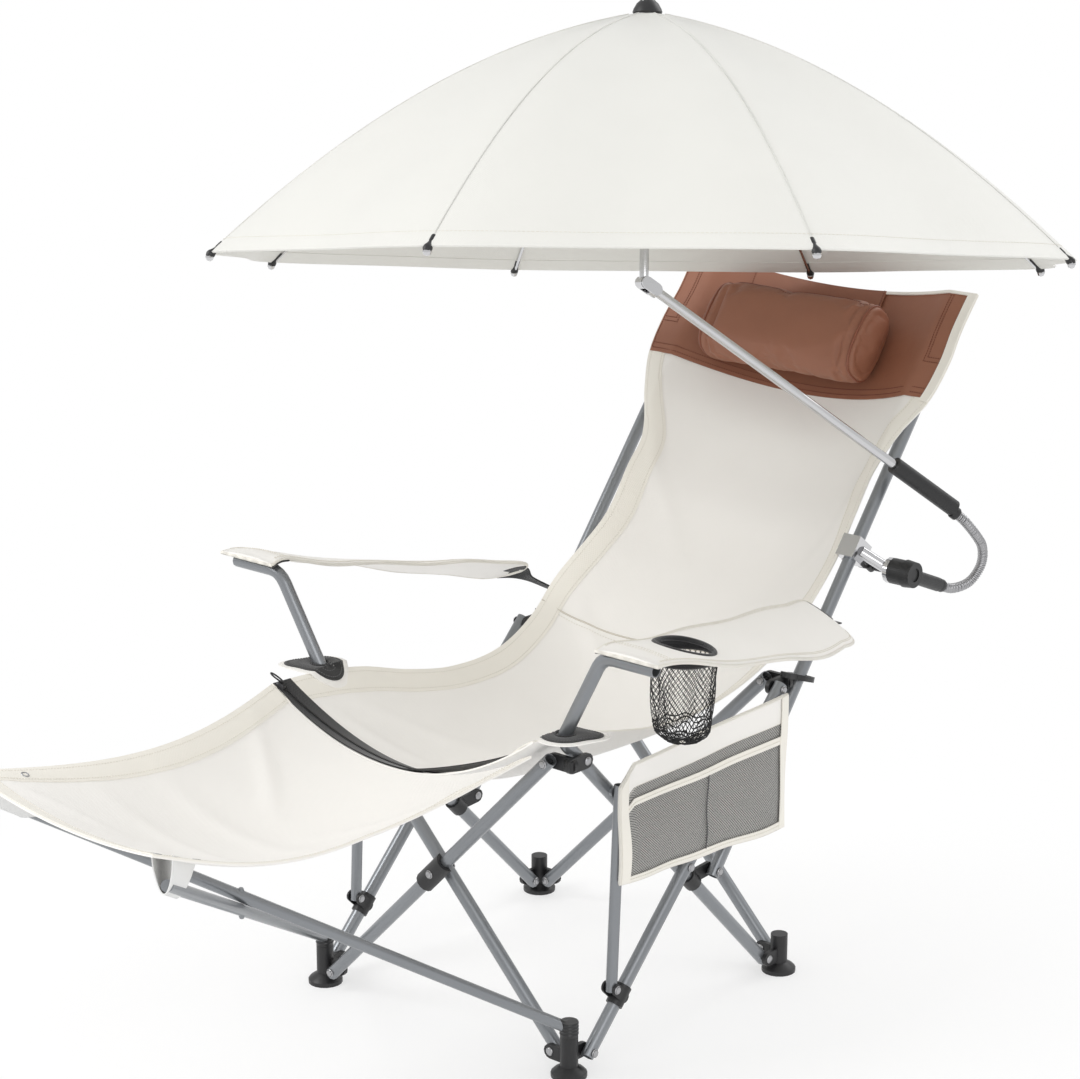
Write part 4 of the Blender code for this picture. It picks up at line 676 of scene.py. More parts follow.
def tooth_model(length: float, width: float, height: float, finish: Finish) -> bpy.types.Object:
    """A small moulded block with a narrower top, lying along local X."""
    deselect()
    bpy.ops.mesh.primitive_cube_add(size=1)
    made = bpy.context.active_object
    bpy.ops.object.mode_set(mode="EDIT")
    bpy.ops.mesh.select_all(action="SELECT")
    bpy.ops.transform.resize(value=(length, width, height))
    bpy.ops.mesh.bevel(offset=min(length, height) * 0.22, segments=1)
    bpy.ops.object.mode_set(mode="OBJECT")
    for vertex in made.data.vertices:
        if vertex.co.z > 0:
            vertex.co.x *= 0.8
            vertex.co.y *= 0.86
    finish.put_on(made)
    return made


def placed(along: Vector, up: Vector, origin: Vector) -> Matrix:
    """A matrix that lays local X along a direction at a place, with local Z near up."""
    first = Vector(along).normalized()
    second = Vector(up).cross(first).normalized()
    turn = Matrix((first, second, first.cross(second))).transposed().to_4x4()
    return Matrix.Translation(origin) @ turn


def circle_round(up: Vector, radius: float, count: int) -> list[Vector]:
    """Points of a circle about a direction, from its middle."""
    first = Vector(up).orthogonal().normalized()
    second = Vector(up).normalized().cross(first)
    turns = around(count)
    return [(first * math.cos(turn) + second * math.sin(turn)) * radius for turn in turns]


def stitch_row(
    name: str, points: Sequence[Vector], pitch: float, finish: Finish, radius: float = 0.0006
) -> bpy.types.Object:
    """A row of stitches along a route.

    Args:
        name: The piece's name.
        points: The route, close enough together to be read as lines.
        pitch: The distance from one stitch to the next.
        finish: The thread.
        radius: The thread's radius.

    Returns:
        The piece.
    """
    places = []
    left = pitch / 2
    for start, end in zip(points, points[1:]):
        run = Vector(end) - Vector(start)
        length = run.length
        while left < length:
            middle = Vector(start) + run * (left / length)
            turn = run.to_track_quat("X", "Z").to_matrix().to_4x4()
            places.append(Matrix.Translation(middle) @ turn)
            left += pitch
        left -= length
    return copies(name, stitch_model(pitch * 0.62, radius, finish), places)


# The chair's lines


def spline(rows: Sequence[Sequence[float]], place: float) -> list[float]:
    """A smooth curve through rows of numbers.

    Args:
        rows: The rows, one a unit of place apart.
        place: From 0 to the number of rows less one.

    Returns:
        The numbers there.
    """
    last = len(rows) - 1
    place = min(max(place, 0.0), float(last))
    first = min(int(place), last - 1)
    share = place - first
    four = [rows[min(max(first + step, 0), last)] for step in (-1, 0, 1, 2)]
    return [
        0.5 * (
            2 * b + (c - a) * share + (
                2 * a - 5 * b + 4 * c - d
            ) * share**2 + (3 * b - a - 3 * c + d) * share**3
        )
        for a, b, c, d in zip(*four)
    ]


def between(low: float, high: float, share: float) -> float:
    """The number at a share of the way from low to high."""
    return low + (high - low) * share


def spread(low: float, high: float, steps: int) -> list[float]:
    """Even numbers from low to high, with both ends."""
    return [between(low, high, i / steps) for i in range(steps + 1)]


def around(count: int) -> list[float]:
    """Even angles once round."""
    return [2 * math.pi * i / count for i in range(count)]


def bump_along(share: float) -> float:
    """0 at both ends of a run and 1 in its middle."""
    return math.sin(math.pi * min(max(share, 0.0), 1.0))


EAR = Vector((HALF_SPAN, EAR_DOWN, CROSS_HEIGHT - EAR_OUT))
EYE = Vector((HALF_SPAN, HALF_SPAN + EYE_BACK, HUB_HEIGHT))
POST = Vector((0, EYE.y - EAR.y, EYE.z - EAR.z)).normalized()
FRONT = X_AXIS.cross(POST)


def post_at(height: float) -> Vector:
    """The back posts' middle line at a height, at X = 0."""
    return Vector((0, EAR.y + (height - EAR.z) * POST.y / POST.z, height))


@dataclass(frozen=True)
class Crease:
    """A soft fold in cloth, as a line on its plan."""

    start: tuple[float, float]
    end: tuple[float, float]
    height: float
    width: float

    def rise(self, across: float, along: float) -> float:
        """How far the fold lifts the cloth at a place of the plan."""
        run = (self.end[0] - self.start[0], self.end[1] - self.start[1])
        length = math.hypot(*run) or 1e-6
        off = (across - self.start[0], along - self.start[1])
        share = (off[0] * run[0] + off[1] * run[1]) / length**2
        side = (off[0] * run[1] - off[1] * run[0]) / length
        ends = math.exp(-((max(-share, share - 1, 0.0) * length / self.width) ** 2))
        swell = 0.35 + 0.65 * bump_along(share)
        return self.height * swell * ends * math.exp(-((side / self.width) ** 2))


class Surface:
    """Cloth laid on a smooth surface: across is -1 to 1, along runs over its rows."""

    rows: Sequence[Sequence[float]] = ()
    creases: Sequence[Crease] = ()

    def base(self, across: float, along: float) -> Vector:
        """The surface without creases, in chair coordinates."""
        raise NotImplementedError

    def plan(self, across: float, along: float) -> tuple[float, float]:
        """The place on the cloth's plan, in metres, for its creases."""
        raise NotImplementedError

    def normal(self, across: float, along: float) -> Vector:
        """The direction towards the sitter."""
        step = 1e-3
        over = self.base(across + step, along) - self.base(across - step, along)
        up = self.base(across, along + step) - self.base(across, along - step)
        return over.cross(up).normalized()

    def point(self, across: float, along: float, lift: float = 0.0) -> Vector:
        """The creased surface, lifted towards the sitter."""
        plan = self.plan(across, along)
        rise = sum(crease.rise(*plan) for crease in self.creases)
        return self.base(across, along) + self.normal(across, along) * (rise + lift)

    def patch(
        self, across: tuple[float, float], along: tuple[float, float], lift: float = 0.0
    ) -> Shape:
        """A part of the surface as a shape of two shares."""
        return lambda u, v: self.point(between(*across, u), between(*along, v), lift)

    def line(
        self, places: Sequence[tuple[float, float]], lift: float = 0.0, steps: int = 24
    ) -> list[Vector]:
        """A line on the surface through places, lifted.

        Args:
            places: (across, along) of its corners.
            lift: The height over the surface.
            steps: Parts of each run.

        Returns:
            The points.
        """
        found = []
        for (a, b), (c, d) in zip(places, places[1:]):
            found += [
                self.point(
                    between(a, c, i / steps), between(b, d, i / steps), lift
                ) for i in range(steps)
            ]
        return found + [self.point(*places[-1], lift)]


def length_of(points: Sequence[Vector]) -> float:
    """The length of a route."""
    return sum((b - a).length for a, b in zip(points, points[1:]))


class SlingSurface(Surface):
    """The seat and back of the sling."""

    seat_rows = (
        (-0.315, 0.214, 0.486, 0.082, 0.030),
        (-0.255, 0.214, 0.483, 0.101, 0.015),
        (-0.180, 0.210, 0.472, 0.110, 0.0),
        (-0.090, 0.201, 0.448, 0.094, 0.0),
        (0.0, 0.197, 0.432, 0.080, 0.0),
        (0.100, 0.200, 0.434, 0.078, 0.0),
        (0.190, 0.212, 0.462, 0.080, 0.0),
        (0.265, 0.2235, 0.510, 0.084, 0.0),
    )
    back_rows = (
        (0.580, 0.2165, 0.086, 0.006),
        (0.650, 0.2165, 0.084, 0.006),
        (0.700, 0.2165, 0.079, 0.007),
        (0.752, 0.240, 0.071, 0.0185),
        (0.800, 0.264, 0.065, 0.0165),
        (0.850, 0.270, 0.058, 0.0145),
        (0.896, 0.266, 0.050, 0.013),
        (0.944, 0.268, 0.044, 0.013),
    )
    creases = (
        Crease((-0.19, 0.08), (-0.05, 0.24), 0.0034, 0.014),
        Crease((0.19, 0.09), (0.06, 0.27), 0.0034, 0.014),
        Crease((-0.17, 0.05), (-0.02, 0.12), 0.0028, 0.012),
        Crease((-0.10, 0.36), (0.12, 0.40), 0.0022, 0.018),
        Crease((-0.19, 0.60), (-0.05, 0.52), 0.0034, 0.014),
        Crease((0.20, 0.60), (0.05, 0.52), 0.0040, 0.014),
        Crease((0.20, 0.72), (0.03, 0.76), 0.0032, 0.013),
        Crease((-0.20, 0.74), (-0.04, 0.79), 0.0034, 0.013),
        Crease((0.19, 0.90), (0.09, 0.76), 0.0026, 0.012),
        Crease((-0.19, 0.92), (-0.10, 0.78), 0.0030, 0.012),
        Crease((-0.21, 0.99), (-0.18, 0.88), 0.0038, 0.010),
        Crease((0.21, 0.99), (0.17, 0.89), 0.0030, 0.010),
    )

    def __init__(self) -> None:
        """Gathers the seat's and the back's rows in one table."""
        rows = [(y, z, half, half, 0.0, -drop, skew) for y, half, z, drop, skew in self.seat_rows]
        for height, half, drop, before in self.back_rows:
            edge = post_at(height) + FRONT * before
            inside = min(half, HALF_SPAN - TUBE_RADIUS - 0.005)
            rows.append((edge.y, edge.z, half, inside, -FRONT.y * drop, -FRONT.z * drop, 0.0))
        self.rows = rows
        self.last = len(rows) - 1
        steps = 8 * self.last
        middle = [self.base(0, i / 8) for i in range(steps + 1)]
        runs = [0.0]
        for a, b in zip(middle, middle[1:]):
            runs.append(runs[-1] + (b - a).length)
        self.runs = [(run,) for run in runs]

    def base(self, across: float, along: float) -> Vector:
        """The surface without creases."""
        y, z, half, inside, over_y, over_z, skew = spline(self.rows, along)
        x = across * half
        depth = max(0.0, 1 - (x / inside) ** 2)
        return Vector((x, y + skew * across + over_y * depth, z + over_z * depth))

    def plan(self, across: float, along: float) -> tuple[float, float]:
        """Metres from the middle and from the seat's front."""
        half = spline(self.rows, along)[2]
        return across * half, spline(self.runs, along * 8)[0]

    def edge(self, along: float, inset: float) -> float:
        """The share across that lies an inset in metres from the side edge."""
        return 1 - inset / spline(self.rows, along)[2]

    def height_at(self, x: float, y: float) -> float:
        """The cloth's height over a place near the seat's front."""
        front, second, third = (row[0] for row in self.seat_rows[:3])
        along = (y - front) / (
            second - front
        ) if y < second else 1 + (y - second) / (third - second)
        return self.base(max(min(x / 0.212, 1.0), -1.0), max(along, 0.0)).z


class FootrestSurface(Surface):
    """The footrest's sling, from the seat's front edge to the two tips."""

    creases = (
        Crease((-0.17, 0.08), (-0.04, 0.20), 0.0036, 0.014),
        Crease((0.18, 0.07), (0.05, 0.22), 0.0036, 0.014),
        Crease((-0.15, 0.30), (0.12, 0.27), 0.0030, 0.020),
        Crease((-0.14, 0.42), (0.13, 0.38), 0.0032, 0.020),
        Crease((0.16, 0.55), (0.02, 0.46), 0.0036, 0.015),
        Crease((-0.16, 0.56), (-0.03, 0.48), 0.0034, 0.015),
    )
    rear_y, front_y = -0.3174, -0.9045
    rear_half, front_half, waist = 0.214, 0.194, 0.172
    rear_height, front_height = 0.486, 0.5102
    rear_skew, front_skew = 0.030, -0.018
    left_sag, right_sag, middle_sag = 0.078, 0.028, 0.012
    rear_drop, front_drop = 0.082, 0.016
    zip_dip, zip_reach = 0.020, 0.40

    def base(self, across: float, along: float) -> Vector:
        """The surface without creases; along is 0 at the front tips and 1 at the seat."""
        share = 1 - along
        swell = math.sin(math.pi * share)
        half = between(self.rear_half, self.front_half, share)
        half -= (half - self.waist) * swell
        sag = between(self.right_sag, self.left_sag, (across + 1) / 2)
        height = between(self.rear_height, self.front_height, share) - sag * swell
        height -= self.zip_dip * max(across, 0.0) ** 2 * max(1 - share / self.zip_reach, 0.0)
        drop = between(self.rear_drop, self.front_drop, share) + self.middle_sag * swell
        y = between(self.rear_y, self.front_y, share) + between(
            self.rear_skew, self.front_skew, share
        ) * across
        return Vector((across * half, y, height - drop * (1 - across**2)))

    def plan(self, across: float, along: float) -> tuple[float, float]:
        """Metres from the middle and from the seat's edge."""
        return across * 0.19, (1 - along) * 0.60

    def edge(self, along: float, inset: float) -> float:
        """The share across that lies an inset from the side edge."""
        return 1 - inset / self.base(1, along).x

    def height_at(self, x: float, y: float) -> float:
        """The cloth's height over a place."""
        along = 1 - (self.rear_y - y) / (self.rear_y - self.front_y)
        along = min(max(along, 0.0), 1.0)
        half = self.base(1, along).x
        return self.base(min(max(x / half, -1.0), 1.0), along).z


SLING = SlingSurface()
FOOTREST = FootrestSurface()


def declare_sheet(
    width: float, length: float, area: float
) -> None:
    """Args:
        width: Its flat width.
        length: Its flat length.
        area: Its flat area.
    """
    min(area, width * length)


def area_of(obj: bpy.types.Object) -> float:
    """The area of a single layer."""
    return sum(face.area for face in obj.data.polygons)


def narrows(obj: bpy.types.Object) -> bpy.types.Object:
    """Gives a soft piece its own copy of its mesh."""
    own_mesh(obj)
    return obj


def sewn_on(obj: bpy.types.Object, body: str) -> bpy.types.Object:
    """Attaches a soft piece to its body and gives it its own mesh."""
    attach(obj, body)
    return narrows(obj)


@dataclass
class SlingPart:
    """One length of the sling that moves with one body."""

    name: str
    body: str
    start: float
    end: float
    rows: int


@dataclass
class Sling:
    """The seat and back, with their hems and the seam between them."""

    surface: SlingSurface
    thickness: float = 0.0024
    hem: float = 0.030
    parts: tuple[SlingPart, ...] = (
        SlingPart("seat_front", "arm_tube_left", 0.0, 4.0, 40),
        SlingPart("seat_rear", "side_tube_left", 4.0, 7.3, 28),
        SlingPart("back", "back_post_left", 7.3, 15.0, 60),
    )

    def build(self) -> None:
        """Makes every piece of the sling."""
        for index, part in enumerate(self.parts):
            cloth = self.cloth(part)
            if index == 0:
                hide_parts("seat_sling")
            for side in Side:
                self.side_hem(part, side)
        self.seam()

    def run(self, part: SlingPart) -> tuple[float, float]:
        """The part's two ends on the cloth's plan."""
        return self.surface.plan(0, part.start)[1], self.surface.plan(0, part.end)[1]

    def cloth(self, part: SlingPart) -> bpy.types.Object:
        """The main cloth of a part."""
        low, high = self.run(part)
        shape = self.surface.patch((-1, 1), (part.start, part.end))
        size = (2 * HALF_SPAN, high - low)
        made = grid_piece(part.name + "_cloth", shape, 72, part.rows, size)
        area = area_of(made)
        thicken(made, self.thickness)
        CREAM.put_on(made)
        width = max(
            length_of(self.surface.line([(-1, at), (1, at)])) for at in (part.start, part.end)
        )
        sewn_on(made, part.body)
        length = max(high - low, length_of(self.surface.line([(1, part.start), (1, part.end)])))
        declare_sheet(
            width * 1.02, length * 1.02, area
        )
        return made

    def side_hem(self, part: SlingPart, side: Side) -> None:
        """One doubled side hem with its two rows of stitches."""
        low, high = self.run(part)
        sign = side.value

        def shape(u: float, v: float) -> Vector:
            """The hem's face."""
            along = between(part.start, part.end, v)
            inner = self.surface.edge(along, self.hem)
            swell = 0.0014 + 0.0012 * bump_along(u)
            share = between(inner, 1.004, u) if sign > 0 else between(1.004, inner, u)
            return self.surface.point(sign * share, along, swell)

        name = f"{part.name}_hem_{side.word}"
        sewn_on(
            cloth_piece(name, shape, 6, part.rows, (self.hem, high - low), 0.0016, CREAM_TAPE),
            part.body,
        )
        steps = part.rows * 2
        for label, inset in (("edge", 0.005), ("inner", self.hem - 0.004)):
            places = [between(part.start, part.end, i / steps) for i in range(steps + 1)]
            points = [
                self.surface.point(sign * self.surface.edge(at, inset), at, 0.0030) for at in places
            ]
            row = stitch_row(f"{name}_{label}_stitches", points, *CREAM_STITCH)
            sewn_on(row, part.body)

    def seam(self) -> None:
        """The arched seam between the seat and the back."""
        places = []
        for step in range(33):
            across = between(-1, 1, step / 32)
            places.append((across, 7.12 + 0.12 * across - 0.56 * across**2))
        ridge = cord_piece(
            "seat_back_seam", self.surface.line(places, 0.0016, 2), 0.0014, 6, SEAM_SHADE
        )
        sewn_on(ridge, "side_tube_left")
        lower = [(a, b - 0.09) for a, b in places]
        row = stitch_row(
            "seat_back_stitches", self.surface.line(lower, 0.0018, 2), *CREAM_STITCH
        )
        sewn_on(row, "side_tube_left")


@dataclass
class Zip:
    """The zip between the footrest and the seat: its tapes, teeth and two pulls."""

    surface: SlingSurface
    width: float = 0.042
    tooth_pitch: float = 0.0026
    row_length: float = 0.061
    near_shift: float = 0.30
    near_rise: float = 0.010
    body: str = "arm_tube_left"

    def middle(self, across: float) -> float:
        """The row place of the zip's middle line."""
        return 0.54 + 0.38 * across + self.near_shift * max(across, 0.0) ** 1.5

    def build(self) -> None:
        """Makes the tapes, the row of teeth and the pulls."""
        half = self.width / 2 / self.row_length

        def shape(u: float, v: float) -> Vector:
            """The tapes' face."""
            across = between(-1.0, 0.985, u)
            rise = self.near_rise * bump_along(min(max(across, 0.0) / 0.9, 1.0))
            return self.surface.point(
                across, max(self.middle(across) + between(-half, half, v), 0.0), 0.0030 + rise
            )

        tape = cloth_piece("zip_tape", shape, 64, 5, (0.52, self.width), 0.0014, BLACK_TAPE)
        sewn_on(tape, self.body)
        stops = spread(-0.99, 0.97, 40)
        line = self.surface.line([(stop, self.middle(stop)) for stop in stops], 0.0046, 3)
        places = []
        left = 0.0
        for start, end in zip(line, line[1:]):
            run = end - start
            while left < run.length:
                places.append(placed(run, Z_AXIS, start + run * (left / run.length)))
                left += self.tooth_pitch
            left -= run.length
        teeth = copies("zip_teeth", tooth_model(0.0014, 0.0052, 0.0018, ZIP_METAL), places)
        sewn_on(teeth, self.body)
        for name, across in (("right", -0.975), ("left", 0.90)):
            self.pull(name, across)

    def pull(self, name: str, across: float) -> None:
        """One slider with its tab."""
        spot = self.surface.point(across, self.middle(across), 0.0062)
        along = self.surface.point(across + 0.02, self.middle(across + 0.02), 0.0062) - spot
        slider = copies(
            f"zip_slider_{name}",
            tooth_model(0.0150, 0.0120, 0.0056, ZIP_METAL),
            [placed(along, Z_AXIS, spot)],
        )
        out = along.normalized() * (1 if across < 0 else -1)
        side = Z_AXIS.cross(out)
        loop = []
        for step in range(20):
            turn = 2 * math.pi * step / 20
            loop.append(
                spot + out * (
                    -0.010 + 0.012 * math.cos(turn)
                ) + side * 0.0038 * math.sin(turn) + Z_AXIS * (0.003 + 0.002 * math.cos(turn))
            )
        tab = cord_piece(f"zip_tab_{name}", loop, 0.0012, 8, ZIP_METAL, closed=True)
        for piece in (slider, tab):
            sewn_on(piece, self.body)


@dataclass
class PostPatch:
    """The stitched teardrop that lines the sling's opening round an arm post."""

    side: Side
    surface: SlingSurface
    centre: tuple[float, float] = (0.2288, -0.2385)
    height: float = 0.4878
    hole: float = 0.0118
    round_reach: float = 0.033
    point_reach: float = 0.052

    def __post_init__(self) -> None:
        """Turns the point forwards at the right side and backwards at the left."""
        sign = self.side.value
        self.middle = Vector((self.centre[0] * sign, self.centre[1], 0))
        self.pointed = Vector((0.80 * sign, 0.60 * sign, 0))
        self.beside = Z_AXIS.cross(self.pointed)

    def outline(self, turn: float) -> float:
        """The reach from the post at a turn from the point."""
        turn = (turn + math.pi) % (2 * math.pi) - math.pi
        more = self.point_reach / self.round_reach - 1
        return self.round_reach * (1 + more * math.exp(-((turn / 0.42) ** 2)))

    def at(self, turn: float, reach: float, lift: float) -> Vector:
        """A place on the patch."""
        flat = self.middle + self.pointed * (
            reach * math.cos(turn)
        ) + self.beside * (reach * math.sin(turn))
        inner = 0.212 - abs(flat.x)
        cloth = self.height
        if inner > 0:
            cloth = min(cloth, self.surface.height_at(flat.x, flat.y) + 0.0040)
        return Vector((flat.x, flat.y, cloth + lift))

    def ring(self, name: str, grow: float, lift: float, finish: Finish, slot: str) -> None:
        """One layer of the patch, open round the post."""

        def shape(u: float, v: float) -> Vector:
            """The layer's face, turning with u and reaching outwards with v."""
            turn = -2 * math.pi * u
            reach = between(self.hole, self.outline(turn) + grow, v)
            return self.at(turn, reach, lift + 0.0012 * bump_along(v))

        made = grid_piece(name, shape, 64, 8, (0.20, 0.04))
        weld = made.modifiers.new("close", "WELD")
        weld.merge_threshold = 1e-5
        thicken(made, 0.0014)
        finish.put_on(made)
        sewn_on(made, f"arm_tube_{self.side.word}")

    def build(self) -> None:
        """Makes the cream corner, the black patch and its two rows of stitches."""
        word = self.side.word
        self.ring(f"post_corner_{word}", 0.008, -0.0018, CREAM, "cream_fabric")
        self.ring(f"post_patch_{word}", 0.0, 0.0004, BLACK_TAPE, "")
        for label, share in (("outer", 0.90), ("inner", 0.66)):
            turns = [2 * math.pi * i / 48 for i in range(49)]
            points = [self.at(turn, self.outline(turn) * share, 0.0022) for turn in turns]
            row = stitch_row(f"post_stitches_{label}_{word}", points, 0.0040, GREY_THREAD, 0.0006)
            sewn_on(row, f"arm_tube_{word}")
        eye = [self.at(turn, self.hole + 0.0012, 0.0016) for turn in around(32)]
        rim = cord_piece(f"post_eye_{word}", eye, 0.0018, 8, BLACK_TAPE, closed=True)
        sewn_on(rim, f"arm_tube_{word}")


BACK_BINDINGS = (
    ("back_top_binding", (-1.0, 1.002), (14.88, 15.0), (56, 3), (0.53, 0.010), 0.0024),
    ("back_side_binding", (0.950, 1.006), (11.95, 15.0), (4, 32), (0.014, 0.16), 0.0022),
)  # name, across, along, faces, size, thickness


@dataclass
class HeadBand:
    """The brown band at the back's top, with its stitches, corner patches, flap and binding."""

    surface: SlingSurface
    bottom: float = 12.05
    top: float = 14.90
    left_edge: float = 0.955
    right_edge: float = -0.995
    body: str = "back_post_left"

    def brown(
        self,
        name: str,
        across: tuple[float, float],
        along: tuple[float, float],
        lift: float,
        faces: tuple[int, int],
    ) -> bpy.types.Object:
        """A piece of brown cloth on the back."""
        size = (0.27 * (across[1] - across[0]), 0.052 * (along[1] - along[0]))
        shape = self.surface.patch(across, along, lift)
        made = grid_piece(name, shape, *faces, size)
        area = area_of(made)
        thicken(made, 0.0018)
        BROWN.put_on(made)
        sewn_on(made, self.body)
        declare_sheet(size[0] * 1.14, size[1] * 1.14, area)
        return made

    def build(self) -> None:
        """Makes the band and all that is sewn on it."""
        edges = (self.right_edge, self.left_edge)
        self.brown("head_band", edges, (self.bottom, self.top), 0.0030, (64, 20))
        self.brown("pillow_flap", (-0.58, 0.33), (14.15, 15.0), 0.0066, (32, 6))
        corners = (("right", -0.90, -0.985, 13.05), ("left", 0.86, 0.945, 13.10))
        for name, inner, outer, low in corners:
            step = 0.018 if name == "right" else -0.018
            self.stitches(f"{name}_corner", [(inner, self.top - 0.05), (inner, low), (outer, low)])
            self.stitches(
                f"{name}_corner_second",
                [(inner + step, self.top - 0.05), (inner + step, low - 0.12), (outer, low - 0.12)],
            )
            self.stitches(f"{name}_edge", [(outer, self.bottom + 0.10), (outer, self.top)])
        for label, up in (("lower", 0.10), ("lower_second", 0.24)):
            self.stitches(
                label, [(edges[0] + 0.01, self.bottom + up), (edges[1] - 0.01, self.bottom + up)]
            )
        self.stitches(
            "flap", [(-0.57, 14.97), (-0.57, 14.20), (0.32, 14.20), (0.32, 14.97)], 0.0080
        )
        for name, across, along, faces, size, thick in BACK_BINDINGS:
            bind = self.surface.patch(across, along, 0.0052)
            sewn_on(cloth_piece(name, bind, *faces, size, thick, CREAM_TAPE), self.body)

    def stitches(
        self, label: str, places: Sequence[tuple[float, float]], lift: float = 0.0043
    ) -> None:
        """A row of brown stitches."""
        row = stitch_row(
            f"band_stitches_{label}", self.surface.line(places, lift), 0.0040, BROWN_THREAD, 0.0006
        )
        sewn_on(row, self.body)


@dataclass
class Pillow:
    """The stuffed head roll on the band, puffed as cloth with air in it."""

    surface: SlingSurface
    length: float = 0.292
    offset: float = -0.018
    radius: float = 0.064
    flat: float = 0.040
    gap: float = 0.00275
    cap: float = 0.055
    pressure: float = 4.0
    frames: int = 20
    most: float = 0.007
    body: str = "back_post_left"

    def __post_init__(self) -> None:
        """Finds the roll's middle line on the back."""
        middle = self.surface.base(0.4815, 13).lerp(self.surface.base(0.4815, 14), 0.18)
        middle.x = self.offset
        self.middle = middle + FRONT * (self.flat + self.gap)

    def skin(self, turn: float, along: float) -> Vector:
        """A place on the roll before it is puffed; along is -1 to 1."""
        past = max(abs(along) - 0.80, 0.0) / 0.20
        full = 1 - 0.13 * past**2
        c, s = math.cos(turn), math.sin(turn)
        up = math.copysign(abs(c) ** 0.72, c) * self.radius * full
        out = math.copysign(abs(s) ** 0.72, s) * self.flat * full
        return self.middle + X_AXIS * (along * self.length / 2) + POST * up + FRONT * out

    def roll(self) -> bpy.types.Object:
        """The closed roll, from a tube with filled ends."""
        deselect()
        bpy.ops.mesh.primitive_cylinder_add(vertices=56, radius=1, depth=2, end_fill_type="NGON")
        made = bpy.context.active_object
        made.name = made.data.name = "pillow_roll"
        bpy.ops.object.mode_set(mode="EDIT")
        bpy.ops.mesh.select_all(action="SELECT")
        bpy.ops.mesh.bisect(plane_co=(0, 0, 0), plane_no=(0, 0, 1))
        bpy.ops.object.mode_set(mode="OBJECT")
        split = made.modifiers.new("split", "SUBSURF")
        split.subdivision_type = "SIMPLE"
        split.levels = split.render_levels = 3
        settle(made)
        for vertex in made.data.vertices:
            x, y, z = vertex.co
            reach = min(math.hypot(x, y), 1.0)
            turn = math.atan2(y, x)
            skin = self.skin(turn, z)
            axis = self.middle + X_AXIS * (z * self.length / 2)
            swell = 0.007 * (1 - reach**2) * (1 if z > 0 else -1) if abs(z) > 0.999 else 0.0
            vertex.co = axis + (skin - axis) * reach + X_AXIS * swell + SHIFT
        remesh = made.modifiers.new("even", "REMESH")
        remesh.mode, remesh.voxel_size = "VOXEL", 0.005
        settle(made, 60)
        return made

    def puff(self, made: bpy.types.Object) -> None:
        """Blows the roll up as cloth, with its back held, and caps how far it moves."""
        still = [vertex.co.copy() for vertex in made.data.vertices]
        held = made.vertex_groups.new(name="held")
        backs = [
            v.index for v in made.data.vertices if (
                v.co - SHIFT - self.middle
            ).dot(FRONT) < -0.72 * self.flat
        ]
        ring = [
            v.index for v in made.data.vertices if abs(
                abs(v.co.x - SHIFT.x - self.offset) - self.length / 2 * 0.96
            ) < 0.003
        ]
        held.add(backs + ring, 1.0, "REPLACE")
        air = made.modifiers.new("air", "CLOTH")
        cloth = air.settings
        cloth.quality, cloth.mass = 6, 0.12
        cloth.tension_stiffness = cloth.compression_stiffness = 14
        cloth.shear_stiffness, cloth.bending_stiffness = 5, 0.25
        cloth.use_pressure, cloth.uniform_pressure_force = True, self.pressure
        cloth.shrink_min = -0.045
        cloth.vertex_group_mass = "held"
        cloth.effector_weights.gravity = 0
        air.point_cache.frame_start, air.point_cache.frame_end = 1, self.frames
        for step in range(1, self.frames + 1):
            bpy.context.scene.frame_set(step)
        activate(made)
        bpy.ops.object.modifier_apply(modifier="air")
        bpy.context.scene.frame_set(1)
        for vertex, place in zip(made.data.vertices, still):
            moved = vertex.co - place
            if moved.length > self.most:
                vertex.co = place + moved * (self.most / moved.length)
        made.vertex_groups.clear()

    def build(self) -> None:
        """Makes the roll, its end piping and its long seam."""
        made = self.roll()
        self.puff(made)
        soft = made.modifiers.new("soft", "SUBSURF")
        soft.levels = soft.render_levels = 1
        settle(made, 80)
        BROWN.put_on(made)
        sewn_on(made, self.body)
        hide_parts("head_pillow")
        for side in Side:
            along = side.value * 0.96
            ring = [self.outside(made, turn, along) for turn in around(72)]
            piping = cord_piece(
                f"pillow_piping_{side.word}", ring, 0.0021, 8, BROWN_PIPING, closed=True
            )
            sewn_on(piping, self.body)
        seam = [self.outside(made, 0.62, along) for along in spread(-0.94, 0.94, 60)]
        sewn_on(
            stitch_row("pillow_seam", seam, 0.0042, BROWN_THREAD, 0.0006), self.body
        )

    def outside(self, made: bpy.types.Object, turn: float, along: float) -> Vector:
        """A place on the puffed skin nearest to one on the plain roll."""
        found, place, normal, _ = made.closest_point_on_mesh(self.skin(turn, along) + SHIFT)
        return place + normal * 0.0004 - SHIFT if found else self.skin(turn, along)


